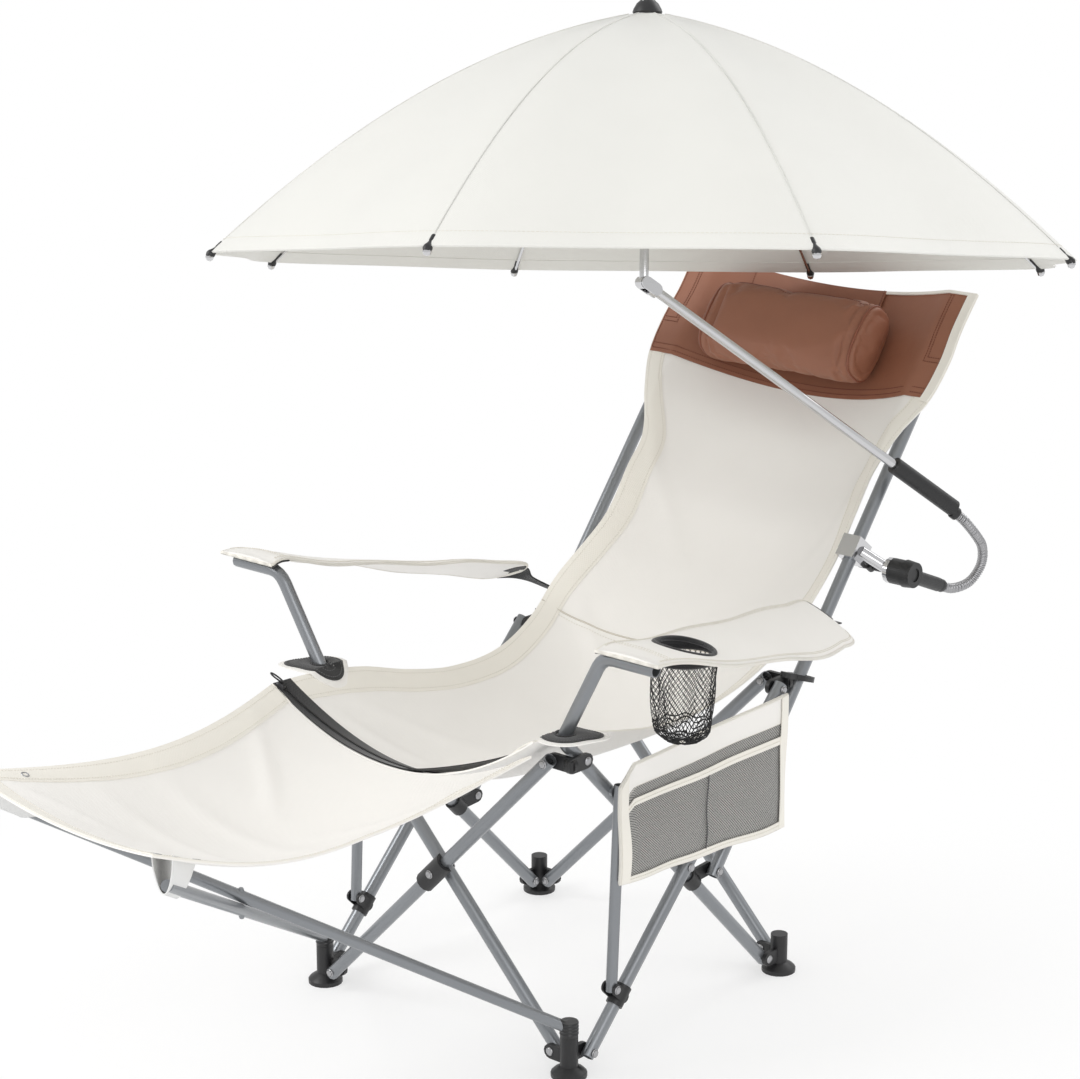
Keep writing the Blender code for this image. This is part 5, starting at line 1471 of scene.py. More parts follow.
@dataclass
class Footrest:
    """The footrest's sling with its hems, corner pockets and eyelets."""

    surface: FootrestSurface
    hem: float = 0.028
    pocket_length: float = 0.046
    slant: float = 0.050
    tube_reach: float = 0.0125
    plug: float = 0.235
    tip_x: float = 0.170
    tip_y: float = -0.8805
    gathered: float = 0.33

    def build(self) -> None:
        """Makes each half of the cloth, with its hems, pocket and eyelets."""
        for side in Side:
            self.half(side)
            self.side_hem(side)
            self.pocket(side)
            self.eyelets(side)

    def hold(self, piece: bpy.types.Object, side: Side) -> None:
        """Ties a piece to the other foot's tube and gives it its own mesh."""
        sign = side.value
        other = Side.RIGHT if side is Side.LEFT else Side.LEFT
        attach(piece, f"footrest_tube_{other.word}")
        start = Vector((-self.plug * sign, -self.plug, 0))
        run = (Vector((self.tip_x * sign, self.tip_y, 0)) - start).normalized()
        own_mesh(piece)

    def half(self, side: Side) -> None:
        """One half of the main cloth, with its part of the front hem."""
        sign = side.value
        across = (0, 1) if sign > 0 else (-1, 0)
        made = grid_piece(
            f"footrest_cloth_{side.word}", self.surface.patch(across, (0, 1)), 32, 80, (0.20, 0.62)
        )
        area = area_of(made)
        thicken(made, 0.0024)
        CREAM.put_on(made)
        self.hold(made, side)
        if side is Side.RIGHT:
            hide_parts("footrest_sling")
        declare_sheet(
            0.245, 0.68, area
        )
        shape = self.surface.patch(across, (0.0, 0.042), 0.0022)
        self.hold(
            cloth_piece(
                f"footrest_front_hem_{side.word}", shape, 28, 4, (0.20, 0.026), 0.0016, CREAM_TAPE
            ),
            side,
        )
        line = self.surface.line([(0.005 * sign, 0.042), (0.97 * sign, 0.042)], 0.0032, 48)
        self.hold(
            stitch_row(f"footrest_front_stitches_{side.word}", line, *CREAM_STITCH),
            side,
        )

    def side_hem(self, side: Side) -> None:
        """One side's doubled hem."""
        sign = side.value

        def shape(u: float, v: float) -> Vector:
            """The hem's face."""
            inner = self.surface.edge(v, self.hem)
            share = between(inner, 1.004, u) if sign > 0 else between(1.004, inner, u)
            return self.surface.point(sign * share, v, 0.0014 + 0.0012 * bump_along(u))

        name = f"footrest_hem_{side.word}"
        self.hold(cloth_piece(name, shape, 6, 60, (self.hem, 0.62), 0.0016, CREAM_TAPE), side)
        for label, inset in (("edge", 0.005), ("inner", self.hem - 0.004)):
            points = [
                self.surface.point(
                    sign * self.surface.edge(i / 90, inset), i / 90, 0.0030
                ) for i in range(91)
            ]
            self.hold(
                stitch_row(f"{name}_{label}_stitches", points, *CREAM_STITCH), side
            )

    def pocket(self, side: Side) -> None:
        """The grey-white pocket under a front corner that takes a footrest tube's tip."""
        sign = side.value
        low = 0.4549 if side is Side.LEFT else 0.4877
        tip = Vector((self.tip_x * sign, self.tip_y, low))
        start = Vector((-self.plug * sign, -self.plug, 0.0693))
        back = (start - tip).normalized()

        def shape(u: float, v: float) -> Vector:
            """The pocket's wall, hung from the cloth round under the tube."""
            deep = (math.sin(math.pi * v) if 0 < v < 1 else 0.0) ** 0.55
            middle = tip + back * (
                between(-0.006, self.pocket_length, u) + self.slant * u * (1 - deep)
            )
            x = middle.x + sign * between(-0.024, 0.014, v)
            top = self.surface.height_at(x, middle.y) - 0.0012
            floor = middle.z - self.tube_reach
            return Vector((x, middle.y, top + min(floor - top, 0.0) * deep))

        made = cloth_piece(
            f"footrest_pocket_{side.word}", shape, 14, 20, (0.09, 0.12), 0.0016, POCKET_CLOTH
        )
        self.hold(made, side)
        rim = [shape(1.0, i / 20) for i in range(21)]
        self.hold(
            cord_piece(f"footrest_pocket_rim_{side.word}", rim, 0.0011, 6, POCKET_CLOTH), side
        )

    def eyelets(self, side: Side) -> None:
        """The two eyelets by a front corner."""
        sign = side.value
        for number, (reach, along) in enumerate(((0.93, 0.030), (0.92, 0.135)), 1):
            place = self.surface.point(sign * reach, along, 0.0030)
            up = self.surface.normal(sign * reach, along)
            ring = [place + turn for turn in circle_round(up, 0.0046, 24)]
            piece = cord_piece(
                f"footrest_eyelet_{side.word}_{number}", ring, 0.0013, 8, ZINC, closed=True
            )
            self.hold(piece, side)


@dataclass
class ArmRest:
    """One arm rest: a leaf of doubled cloth from the arm rod to a strap round the back post."""

    side: Side
    rod_top: float = 0.6233
    front: tuple[float, float] = (0.352, -0.245)
    rear: tuple[float, float] = (0.297, 0.235)
    rear_height: float = 0.552
    wide: float = 0.104
    overhang: float = 0.016
    bow: float = 0.024
    sink: float = 0.010
    stations: tuple[tuple[float, float, float, float], ...] = (
        (0.25, 0.3, 1.15, 0.5), (
            0.53, 0.3, 1.24, 0.95
        ), (0.78, 0.2, 1.16, 1.0), (1.0, 0.0, 0.76, 0.4),
    )
    strap_width: float = 0.022
    strap_x: float = 0.2561
    strap_fall: float = 0.031
    roll: float = 0.026
    pad_end: float = 5.35
    round_start: float = 4.45

    def __post_init__(self) -> None:
        """Lays out the rows (x, y, height, width)."""
        x, y = self.front
        rows = [
            (x, y - self.overhang, self.rod_top, self.wide),
            (x, y + self.overhang, self.rod_top, self.wide),
        ]
        for share, sunk, width, bow in self.stations:
            rows.append((
                between(x, self.rear[0], share) + self.bow * bow,
                between(y, self.rear[1], share),
                between(self.rod_top, self.rear_height, share) - self.sink * sunk,
                self.wide * width,
            ))
        strap = post_at(self.rear_height - self.strap_fall)
        lobe = (
            (self.rear[0] + self.strap_x) / 2,
            self.rear[1] + self.strap_width,
            self.rear_height - self.sink,
        )
        rows.append((*lobe, self.strap_width))
        rows.append((self.strap_x, strap.y, strap.z, self.strap_width))
        self.rows = rows
        self.body = f"arm_tube_{self.side.word}"

    def point(self, across: float, along: float, lift: float = 0.0, narrow: float = 1.0) -> Vector:
        """A place on the rest; across is -1 to 1, along runs over the rows."""
        x, y, z, width = spline(self.rows, along)
        crown = 0.004 * (1 - across**2) - self.roll * across * narrow * (
            along / self.pad_end
        ) ** 1.5 * width / self.wide
        crown *= 1 - max(along - 5.0, 0.0) / 2
        wave = 0.0022 * math.sin(
            along * 4.1 + across * 2.3
        ) * across**2 * bump_along(along / self.pad_end)
        return Vector(
            (self.side.value * (x + across * narrow * width / 2), y, z + crown + wave + lift)
        )

    def leaf(self, across: float, along: float, lift: float = 0.0) -> Vector:
        """A place on the pad, whose rear end is round."""
        narrow = 1.0
        if along > self.round_start:
            past = (along - self.round_start) / (self.pad_end - self.round_start)
            full = spline(self.rows, self.round_start)[3] / max(spline(self.rows, along)[3], 1e-4)
            narrow = full * math.sqrt(max(1 - past**2.4, 0.0))
        return self.point(across, along, lift, narrow)

    def row_at(self, y: float) -> float:
        """The row place at a distance along Y."""
        low, high = 0.0, 5.0
        for _ in range(24):
            middle = (low + high) / 2
            if spline(self.rows, middle)[1] < y:
                low = middle
            else:
                high = middle
        return low

    def height_at(self, x: float, y: float) -> float:
        """The pad's height over a place."""
        along = self.row_at(y)
        row = spline(self.rows, along)
        return self.point((x - row[0]) / (row[3] / 2), along).z

    def strip(
        self,
        name: str,
        edges: tuple[float, float],
        along: tuple[float, float],
        finish: Finish,
        lift: float,
        thick: float,
    ) -> bpy.types.Object:
        """A length of cloth on the rest.

        Args:
            name: The piece's name.
            edges: Its two sides, in shares across.
            along: Its two ends, over the rows.
            finish: What it is made of.
            lift: The height over the rest.
            thick: Its thickness.

        Returns:
            The piece.
        """
        sign = self.side.value

        def shape(u: float, v: float) -> Vector:
            """The strip's face."""
            share = between(*edges, u) if sign > 0 else between(*reversed(edges), u)
            place = self.leaf if along[1] <= self.pad_end else self.point
            return place(share, between(*along, v), lift)

        rows = max(int((along[1] - along[0]) * 10), 3)
        made = grid_piece(name, shape, 20, rows, (0.12, 0.1 * (along[1] - along[0])))
        wall = made.modifiers.new("wall", "SOLIDIFY")
        wall.thickness, wall.offset = thick, 0
        soft = made.modifiers.new("soft", "SUBSURF")
        soft.levels = soft.render_levels = 1
        settle(made, 60)
        finish.put_on(made)
        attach(made, self.body)
        return made

    def build(self) -> None:
        """Makes the pad, its binding, its black ends and its stitches."""
        word = self.side.word
        pad = self.strip(
            f"armrest_pad_{word}", (-1, 1), (0.0, self.pad_end - 0.01), CREAM, 0.0, 0.0044
        )
        if self.side is Side.LEFT:
            self.cup_opening(pad)
        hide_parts(f"armrest_{word}")
        steps = spread(0.02, self.pad_end - 0.02, 60)
        outline = [self.leaf(0.985, at) for at in steps] + [
            self.leaf(-0.985, at) for at in reversed(steps)
        ]
        self.keep(
            cord_piece(f"armrest_binding_{word}", outline, 0.0026, 8, CREAM_TAPE, closed=True),
            "cream_fabric",
        )
        for label, reach in (("outer", 0.90), ("second", 0.86)):
            inner = [self.leaf(reach, at, 0.0032) for at in steps[6:]] + [
                self.leaf(-reach, at, 0.0032) for at in reversed(steps[6:])
            ]
            self.keep(
                stitch_row(f"armrest_stitches_{label}_{word}", inner, *CREAM_STITCH),
                "cream_fabric",
            )
        for label, along in (("front", 0.93), ("rod", 1.04)):
            line = [self.leaf(across, along, 0.0034) for across in spread(-0.9, 0.9, 20)]
            self.keep(
                stitch_row(f"armrest_stitches_{label}_{word}", line, *CREAM_STITCH),
                "cream_fabric",
            )
        self.strip(
            f"armrest_rod_patch_{word}", (-1.03, -0.66), (0.0, 1.05), BLACK_TAPE, -0.0014, 0.0048
        )
        self.strip(
            f"armrest_rear_patch_{word}", (-1.02, 0.2), (5.02, 5.30), BLACK_TAPE, 0.0, 0.0060
        )
        self.strip(f"armrest_strap_{word}", (-1, 1), (5.2, 7.0), BLACK_TAPE, -0.002, 0.0026)

    def keep(self, obj: bpy.types.Object, slot: str) -> None:
        """Attaches a piece to the arm tube."""
        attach(obj, self.body)

    def cup_opening(self, pad: bpy.types.Object) -> None:
        """Cuts the cup's hole in the pad and binds it."""
        x, y, radius = 0.345, -0.135, 0.040
        deselect()
        bpy.ops.mesh.primitive_cylinder_add(
            vertices=48, radius=radius, depth=0.06, location=Vector((x, y, 0.605)) + SHIFT
        )
        cutter = bpy.context.active_object
        hole = pad.modifiers.new("hole", "BOOLEAN")
        hole.object, hole.solver = cutter, "EXACT"
        settle(pad, 60)
        bpy.data.objects.remove(cutter)
        CREAM.put_on(pad)
        ring = []
        for step in range(48):
            turn = 2 * math.pi * step / 48
            px, py = x + radius * math.cos(turn), y + radius * math.sin(turn)
            ring.append(Vector((px, py, self.height_at(px, py) + 0.0008)))
        self.keep(cord_piece("cup_opening_binding", ring, 0.0036, 10, BLACK_TAPE, closed=True), "")

        def wall(u: float, v: float) -> Vector:
            """The net between the binding and the cup's rim."""
            turn = 2 * math.pi * u
            reach = between(radius + 0.0002, 0.0455, v)
            px, py = x + reach * math.cos(turn), y + reach * math.sin(turn)
            return Vector((px, py, between(self.height_at(px, py), 0.5948, v)))

        skirt = grid_piece("cup_skirt", wall, 48, 2, (0.28, 0.012))
        weld = skirt.modifiers.new("close", "WELD")
        weld.merge_threshold = 1e-5
        thicken(skirt, 0.0010)
        BLACK_TAPE.put_on(skirt)
        self.keep(skirt, "")


@dataclass
class CupNet:
    """The knotted net cup under the left arm rest."""

    centre: tuple[float, float] = (0.345, -0.135)
    top: float = 0.5948
    depth: float = 0.117
    wide: float = 0.0445
    narrow: float = 0.037
    cords: int = 38
    cord_radius: float = 0.00048
    steps: int = 34
    strand_turn: float = 1.9
    strand_end: float = 0.985
    ring_downs: tuple[float, ...] = (0.79, 0.83, 0.87, 0.93)
    ring_wave: float = 0.02
    ring_points: int = 56
    body: str = "arm_tube_left"

    def at(self, turn: float, down: float) -> Vector:
        """A place on the bag: the wall to 0.82 of the way down, then the rounded floor."""
        x, y = self.centre
        wall = min(down / 0.82, 1.0)
        radius = between(self.wide, self.narrow, wall)
        height = self.top - (self.depth - 0.022) * wall
        if down > 0.82:
            bend = (down - 0.82) / 0.18 * math.pi / 2
            radius *= math.cos(bend) * 0.98 + 0.02
            height -= 0.022 * math.sin(bend)
        fold = 0.0024 * math.sin(5 * turn + 2.2 * down) + 0.0016 * math.sin(11 * turn - 3 * down)
        radius += fold * bump_along(down) * 1.2
        return Vector((x + radius * math.cos(turn), y + radius * math.sin(turn), height))

    def build(self) -> None:
        """Makes the net and its rim."""
        parts = []
        for index in range(self.cords):
            start = 2 * math.pi * index / self.cords
            for sign in (1, -1):
                turn = sign * self.strand_turn
                route = [
                    self.at(start + turn * i / self.steps, self.strand_end * i / self.steps)
                    for i in range(self.steps + 1)
                ]
                parts.append(cord_piece("strand", route, self.cord_radius, 5, BLACK_NET))
        for down in self.ring_downs:
            ring = [
                self.at(turn, down + self.ring_wave * math.sin(i * 0.9))
                for i, turn in enumerate(around(self.ring_points))
            ]
            parts.append(
                cord_piece("strand", ring, 2 * self.cord_radius, 5, BLACK_NET, closed=True)
            )
        net = joined("cup_net", parts)
        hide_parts("cup_holder")
        ring = [self.at(turn, 0.0) for turn in around(self.ring_points)]
        rim = cord_piece("cup_rim", ring, 0.0030, 10, BLACK_TAPE, closed=True)
        for piece in (net, rim):
            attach(piece, self.body)


ORGANIZER_PANELS = (
    ("top_panel", (0, 1), (0.80, 1.0), CREAM, 0.0030),
    ("middle_band", (0.02, 0.98), (0.645, 0.705), CREAM_TAPE, 0.0052),
    ("lower_band", (0, 1), (0.0, 0.055), CREAM_TAPE, 0.0050),
    ("slim_net", (0.025, 0.975), (0.70, 0.81), POCKET_NET, 0.0034),
    ("front_pocket", (0.025, 0.50), (0.05, 0.655), POCKET_NET, 0.0046),
    ("rear_pocket", (0.50, 0.975), (0.05, 0.655), POCKET_NET, 0.0046),
    ("front_band", (0.0, 0.040), (0.0, 1.0), CREAM_TAPE, 0.0058),
    ("rear_band", (0.960, 1.0), (0.0, 1.0), CREAM_TAPE, 0.0058),
)  # label, along, up, finish, lift


@dataclass
class Organizer:
    """The side panel with its net pockets, hung from the left arm tube."""

    x: float = 0.257
    bulge: float = 0.016
    front: float = -0.160
    rear: float = 0.205
    tops: tuple[float, float] = (0.425, 0.440)
    bottoms: tuple[float, float] = (0.262, 0.240)
    corner: tuple[float, float] = (0.075, 0.026)
    body: str = "arm_tube_left"

    def point(self, along: float, up: float, lift: float = 0.0) -> Vector:
        """A place on the panel; along is 0 at the front and up 0 at the bottom."""
        low, high = between(*self.bottoms, along), between(*self.tops, along)
        high -= self.corner[1] * max(1 - along / self.corner[0], 0.0)
        swell = abs(math.sin(2 * math.pi * along)) ** 0.8 * bump_along(min(up / 0.62, 1.0))
        wave = 0.0022 * math.sin(along * 17) * (1 - up) + 0.0015 * math.sin(along * 9 + up * 6)
        x = self.x + self.bulge * 0.62 * swell + wave + lift
        return Vector((x, between(self.front, self.rear, along), between(low, high, up)))

    def panel(
        self,
        name: str,
        along: tuple[float, float],
        up: tuple[float, float],
        finish: Finish,
        lift: float,
        thick: float = 0.0014,
    ) -> bpy.types.Object:
        """A rectangle of cloth or net on the panel.

        Args:
            name: The piece's name.
            along: Its two ends, as shares from the front.
            up: Its lower and upper edge, as shares from the bottom.
            finish: What it is made of.
            lift: How far it stands out.
            thick: Its thickness, where it is cloth.

        Returns:
            The piece.
        """

        def shape(u: float, v: float) -> Vector:
            """The piece's face."""
            return self.point(between(*along, u), between(*up, v), lift)

        size = (0.365 * (along[1] - along[0]), 0.19 * (up[1] - up[0]))
        columns = max(int(56 * (along[1] - along[0])), 3)
        rows = max(int(28 * (up[1] - up[0])), 3)
        if finish is POCKET_NET:
            made = grid_piece(name, shape, columns, rows, size)
            settle(made)
            finish.put_on(made)
        else:
            made = cloth_piece(name, shape, columns, rows, size, thick, finish)
        return sewn_on(made, self.body)

    def build(self) -> None:
        """Makes the panel, its bands, pockets, divider and binding."""
        back = self.panel("organizer_back", (0, 1), (0, 1), CREAM, 0.0)
        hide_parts("side_organizer")
        self.panel("organizer_shade", (0.03, 0.97), (0.04, 0.80), POCKET_SHADE, 0.0022, 0.0006)
        for label, *rest in ORGANIZER_PANELS:
            self.panel(f"organizer_{label}", *rest)
        seam = [
            self.point(
                0.50 + 0.006 * math.sin(i / 3), between(0.05, 0.65, i / 24), 0.0052
            ) for i in range(25)
        ]
        sewn_on(cord_piece("organizer_divider", seam, 0.0011, 6, GREY_THREAD), self.body)
        corners = [(0, 0), (1, 0), (1, 1), (self.corner[0], 1), (0, 1)]
        route = []
        for (a, b), (c, d) in zip(corners, corners[1:] + corners[:1]):
            route += [
                self.point(between(a, c, i / 20), between(b, d, i / 20), 0.0030) for i in range(20)
            ]
        binding = cord_piece("organizer_binding", route, 0.0026, 8, CREAM_TAPE, closed=True)
        sewn_on(binding, self.body)
        for label, up in (("upper", 0.81), ("middle", 0.675), ("lower", 0.03)):
            line = [self.point(along, up, 0.0064) for along in spread(0.04, 0.96, 40)]
            sewn_on(
                stitch_row(f"organizer_stitches_{label}", line, *CREAM_STITCH),
                self.body,
            )


FINIAL_PROFILE = (
    (0.0, 0.034), (0.0045, 0.0325), (0.0078, 0.028), (0.0072, 0.0225), (0.0048, 0.0195),
    (0.0100, 0.0165), (0.0150, 0.0120), (0.0190, 0.0050), (0.0205, 0.0005), (0.0195, -0.0020),
)
TIP_PROFILE = (
    (0.0, 0.0085), (0.0035, 0.0075), (0.0058, 0.0040), (0.0058, 0.0), (0.0040, -0.0045),
    (0.0030, -0.0090), (0.0036, -0.0110), (0.0036, -0.0200), (0.0, -0.0205),
)


@dataclass
class Canopy:
    """The umbrella's cloth, as a gore over each rib, with hems, seams and tips."""

    rim: Vector = field(default_factory=lambda: Vector((0.095, 0.079, 1.060)))
    up: Vector = field(default_factory=lambda: Vector((-0.128, 0.161, 1.0)).normalized())
    first_turn: float = math.radians(-120.3)
    radius: float = 0.600
    rise: float = 0.337
    round_share: float = 0.62
    scallop: float = 0.045
    hole_share: float = 0.015
    fullness: float = 0.006
    thickness: float = 0.0012
    gores: int = 8
    cloth_size: tuple[float, float] = (0.46, 0.69)
    hem_width: float = 0.016
    hem_edges: tuple[float, float] = (0.974, 1.001)
    stitch_share: float = 0.968
    keep: float = 0.13

    def __post_init__(self) -> None:
        """Works out the canopy's own axes."""
        first = Y_AXIS.cross(self.up).normalized()
        second = self.up.cross(first)
        self.x_unit = first * math.cos(self.first_turn) + second * math.sin(self.first_turn)
        self.y_unit = self.up.cross(self.x_unit)

    def direction(self, angle: float) -> Vector:
        """The outward direction at an angle."""
        return self.x_unit * math.cos(angle) + self.y_unit * math.sin(angle)

    def point(self, angle: float, share: float, lift: float = 0.0) -> Vector:
        """A place on the cloth; share is 0 at the crown and 1 at the rim."""
        gap = math.sin(4 * angle) ** 2
        share = between(self.hole_share, 1.0, share)
        reach = self.radius * share - self.scallop * gap * share**2
        height = self.rise * (
            (1 - self.round_share) * (1 - share) + self.round_share * (1 - share**2)
        )
        height += self.fullness * math.sin(math.pi * share) * (1 - gap)
        return self.rim + self.up * (height + lift) + self.direction(angle) * reach

    def build(self) -> None:
        """Makes the gores, seams, hems, tips and the finial."""
        for number in range(1, self.gores + 1):
            self.gore(number)
            self.tip(number)
        place = facing(self.up, self.rim + self.up * (self.rise - 0.001))
        cap = turned_piece("canopy_finial", FINIAL_PROFILE, place, 32, BLACK)
        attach(cap, "canopy")

    def turn_of(self, number: int) -> float:
        """The angle of one rib."""
        return 2 * math.pi * (number - 1) / self.gores

    def gore(self, number: int) -> None:
        """The cloth over one rib, with its seam, hem and stitches."""
        middle = self.turn_of(number)
        low, high = middle - math.pi / self.gores, middle + math.pi / self.gores

        def cloth(u: float, v: float) -> Vector:
            """The gore's face."""
            return self.point(between(low, high, u), v**0.9)

        def hem(u: float, v: float) -> Vector:
            """The turned-under hem."""
            return self.point(between(low, high, u), between(*self.hem_edges, v))

        made = grid_piece(f"canopy_gore_{number}", cloth, 24, 36, self.cloth_size)
        area = area_of(made)
        thicken(made, self.thickness)
        CANOPY.put_on(made)
        self.fix(made, number)
        declare_sheet(0.50, 0.72, area)
        if number == 1:
            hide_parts("canopy_cover")
        seam = [self.point(middle, share, 0.0009) for share in spread(0.03, 0.995, 40)]
        self.fix(cord_piece(f"canopy_seam_{number}", seam, 0.0011, 6, CANOPY), number)
        size, thick = (self.cloth_size[0], self.hem_width), 2 * self.thickness
        self.fix(cloth_piece(f"canopy_hem_{number}", hem, 24, 3, size, thick, CANOPY), number)
        row = [self.point(angle, self.stitch_share, 0.0010) for angle in spread(low, high, 24)]
        self.fix(stitch_row(f"canopy_stitches_{number}", row, 0.0055, CREAM_THREAD, 0.0004), number)

    def tip(self, number: int) -> None:
        """The ball end of one rib."""
        middle = self.turn_of(number)
        tip, inner = self.point(middle, 1.0, -0.0015), self.point(middle, 0.97, -0.0015)
        place = facing(tip - inner, tip)
        ball = turned_piece(f"canopy_tip_{number}", TIP_PROFILE, place, 20, BLACK)
        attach(ball, f"rib_{number}")

    def fix(self, obj: bpy.types.Object, number: int) -> None:
        """Attaches cloth to its rib and gives it its own mesh."""
        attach(obj, f"rib_{number}")
        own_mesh(obj)


@dataclass
class Gooseneck:
    """The bending neck: a coil of steel wire round a dark core, with its two ferrules."""

    route: tuple[tuple[float, float, float], ...] = (
        (0.300, 0.520, 0.541), (0.302, 0.555, 0.528), (0.309, 0.590, 0.532),
        (0.317, 0.607, 0.556), (0.324, 0.598, 0.586), (0.330, 0.570, 0.612),
    )
    grip_top: tuple[float, float, float] = (0.277, 0.430, 0.736)
    grip_length: float = 0.125
    grip_radius: float = 0.0125
    knuckle_drop: float = 0.008
    radius: float = 0.0076
    wire: float = 0.0016
    pitch: float = 0.0033
    body: str = "neck_swivel"

    def middle_line(self) -> list[Vector]:
        """The neck's middle line, in small equal steps."""
        rim, up = Vector((0.095, 0.079, 1.060)), Vector((-0.128, 0.161, 1.0)).normalized()
        pole = (rim - up * self.knuckle_drop - Vector(self.grip_top)).normalized()
        end = Vector(self.grip_top) - pole * self.grip_length
        corners = [*self.route, tuple(end - pole * 2 * self.grip_radius), tuple(end)]
        fine = [Vector(spline(corners, (len(corners) - 1) * i / 400)) for i in range(401)]
        runs = [0.0]
        for a, b in zip(fine, fine[1:]):
            runs.append(runs[-1] + (b - a).length)
        count = int(runs[-1] / self.pitch * 14)
        points, index = [], 0
        for step in range(count + 1):
            want = runs[-1] * step / count
            while index < 399 and runs[index + 1] < want:
                index += 1
            share = (want - runs[index]) / (runs[index + 1] - runs[index])
            points.append(fine[index].lerp(fine[index + 1], min(share, 1.0)))
        return points

    def build(self) -> None:
        """Makes the core, the coil and the ferrules."""
        line = self.middle_line()
        coil, side = [], X_AXIS
        for index, point in enumerate(line):
            along = (line[min(index + 1, len(line) - 1)] - line[max(index - 1, 0)]).normalized()
            side = (side - along * side.dot(along)).normalized()
            turn = 2 * math.pi * index / 14
            coil.append(
                point + (
                    side * math.cos(turn) + along.cross(side) * math.sin(turn)
                ) * (self.radius - self.wire)
            )
        core = cord_piece(
            "neck_core", line[::14] + [line[-1]], self.radius - self.wire * 1.2, 16, BLACK
        )
        wound = cord_piece("neck_coil", coil, self.wire, 6, NECK_STEEL)
        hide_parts("gooseneck")
        for piece, slot in ((core, "plastic"), (wound, "chrome")):
            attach(piece, self.body)
        for name, spot, along in (
            ("low", line[0], line[14] - line[0]), ("high", line[-1], line[-15] - line[-1])
        ):
            profile = ((0.0086, 0.010), (0.0092, 0.009), (0.0092, 0.002), (0.0086, 0.0008))
            ring = turned_piece(f"neck_ferrule_{name}", profile, facing(along, spot), 28, BLACK)
            thicken(ring, 0.0012)
            BLACK.put_on(ring)
            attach(ring, self.body)


CAP_DOME = ((0.0, 1.0), (0.0024, 0.97), (0.0044, 0.78), (0.0058, 0.42), (0.0062, 0.12))
CAP_SEAT = (0.0062, -0.0002)
CORNER_FACES = (-0.0163, 0.0098)


@dataclass(frozen=True)
class Rivet:
    """A riveted joint: its place, its axis, its two faces, and the bodies of its heads."""

    body: str
    point: tuple[float, float, float]
    axis: tuple[float, float, float]
    back: float
    front: float
    front_body: str = ""
    front_height: float = 0.0026
    back_height: float = 0.0026

    def cap(self, name: str, face: float, sign: int, body: str, height: float) -> None:
        """A domed bright cap over a head."""
        axis = Vector(self.axis) * sign
        place = facing(axis, Vector(self.point) + axis * abs(face))
        dome = tuple((radius, height * share) for radius, share in CAP_DOME)
        made = turned_piece(name, (*dome, CAP_SEAT), place, 20, ZINC)
        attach(made, body)

    def build(self, number: int) -> None:
        """Makes both caps."""
        self.cap(
            f"rivet_{number}_front", self.front, 1, self.front_body or self.body, self.front_height
        )
        self.cap(f"rivet_{number}_back", self.back, -1, self.body, self.back_height)


def frame_rivets() -> list[Rivet]:
    """The frame's rivets."""
    span, inset, low, high = 0.2455, 0.205, PIVOT_HEIGHT, HUB_HEIGHT
    near = 0.2245
    found = []
    corners = (
        ("foot_front_left", 1, -1, low, near, span), ("foot_rear_left", 1, 1, low, span, near),
        ("foot_front_right", -1, -1, low, span, span), ("foot_rear_right", -1, 1, low, near, near),
        ("front_hub_left", 1, -1, high, span, near), ("rear_hub_left", 1, 1, high, near, span),
        ("front_hub_right", -1, -1, high, near, near), ("rear_hub_right", -1, 1, high, span, span),
    )
    for body, x, y, height, cross, side in corners:
        outward = 1 if cross > HALF_SPAN else -1
        place = (inset * x, cross * y, height)
        found.append(Rivet(body, place, (0, y * outward, 0), *CORNER_FACES))
        outward = 1 if side > HALF_SPAN else -1
        place = (side * x, inset * y, height)
        found.append(Rivet(body, place, (x * outward, 0, 0), *CORNER_FACES))
    for side in Side:
        sign, word = side.value, side.word
        found.append(
            Rivet(f"side_tube_{word}", (0.235 * sign, 0, 0.2366), (-sign, 0, 0), -0.0203, 0.0203)
        )
        found.append(
            Rivet(
                f"arm_tube_{word}",
                (0.2245 * sign, -0.1451, 0.3843),
                (sign, 0, 0),
                -0.0095,
                0.0290,
                f"strut_{word}",
                0.0044,
            )
        )
        found.append(
            Rivet(f"arm_tube_{word}", (0.235 * sign, 0.0782, 0.2041), (sign, 0, 0), -0.0153, 0.0098)
        )
        found.append(
            Rivet(
                f"strut_slider_{word}",
                (0.2455 * sign, -0.1594, 0.1058),
                (sign, 0, 0),
                -0.0113,
                0.0113,
            )
        )
    found.append(Rivet("front_tube_to_left", (0, -0.2455, 0.2366), (0, -1, 0), -0.0308, 0.0146))
    return found


def light(
    name: str, place: Sequence[float], target: Sequence[float], size: float, power: float
) -> None:
    """A soft round lamp that looks at a target."""
    data = bpy.data.lights.new(name, "AREA")
    data.shape = "DISK"
    data.size = size
    data.energy = power
    lamp = bpy.data.objects.new(name, data)
    bpy.context.scene.collection.objects.link(lamp)
    lamp.location = place
    lamp.rotation_euler = (Vector(target) - Vector(place)).to_track_quat("-Z", "Y").to_euler()


LAMPS = (
    ("key_lamp", (-2.4, -2.8, 3.4), (0, 0, 0.5), 2.4, 78),
    ("fill_lamp", (3.2, -2.4, 2.2), (0, 0, 0.5), 2.8, 34),
    ("rear_lamp", (0.6, 3.2, 3.2), (0, 0, 0.7), 2.4, 36),
)  # name, place, target, size, power


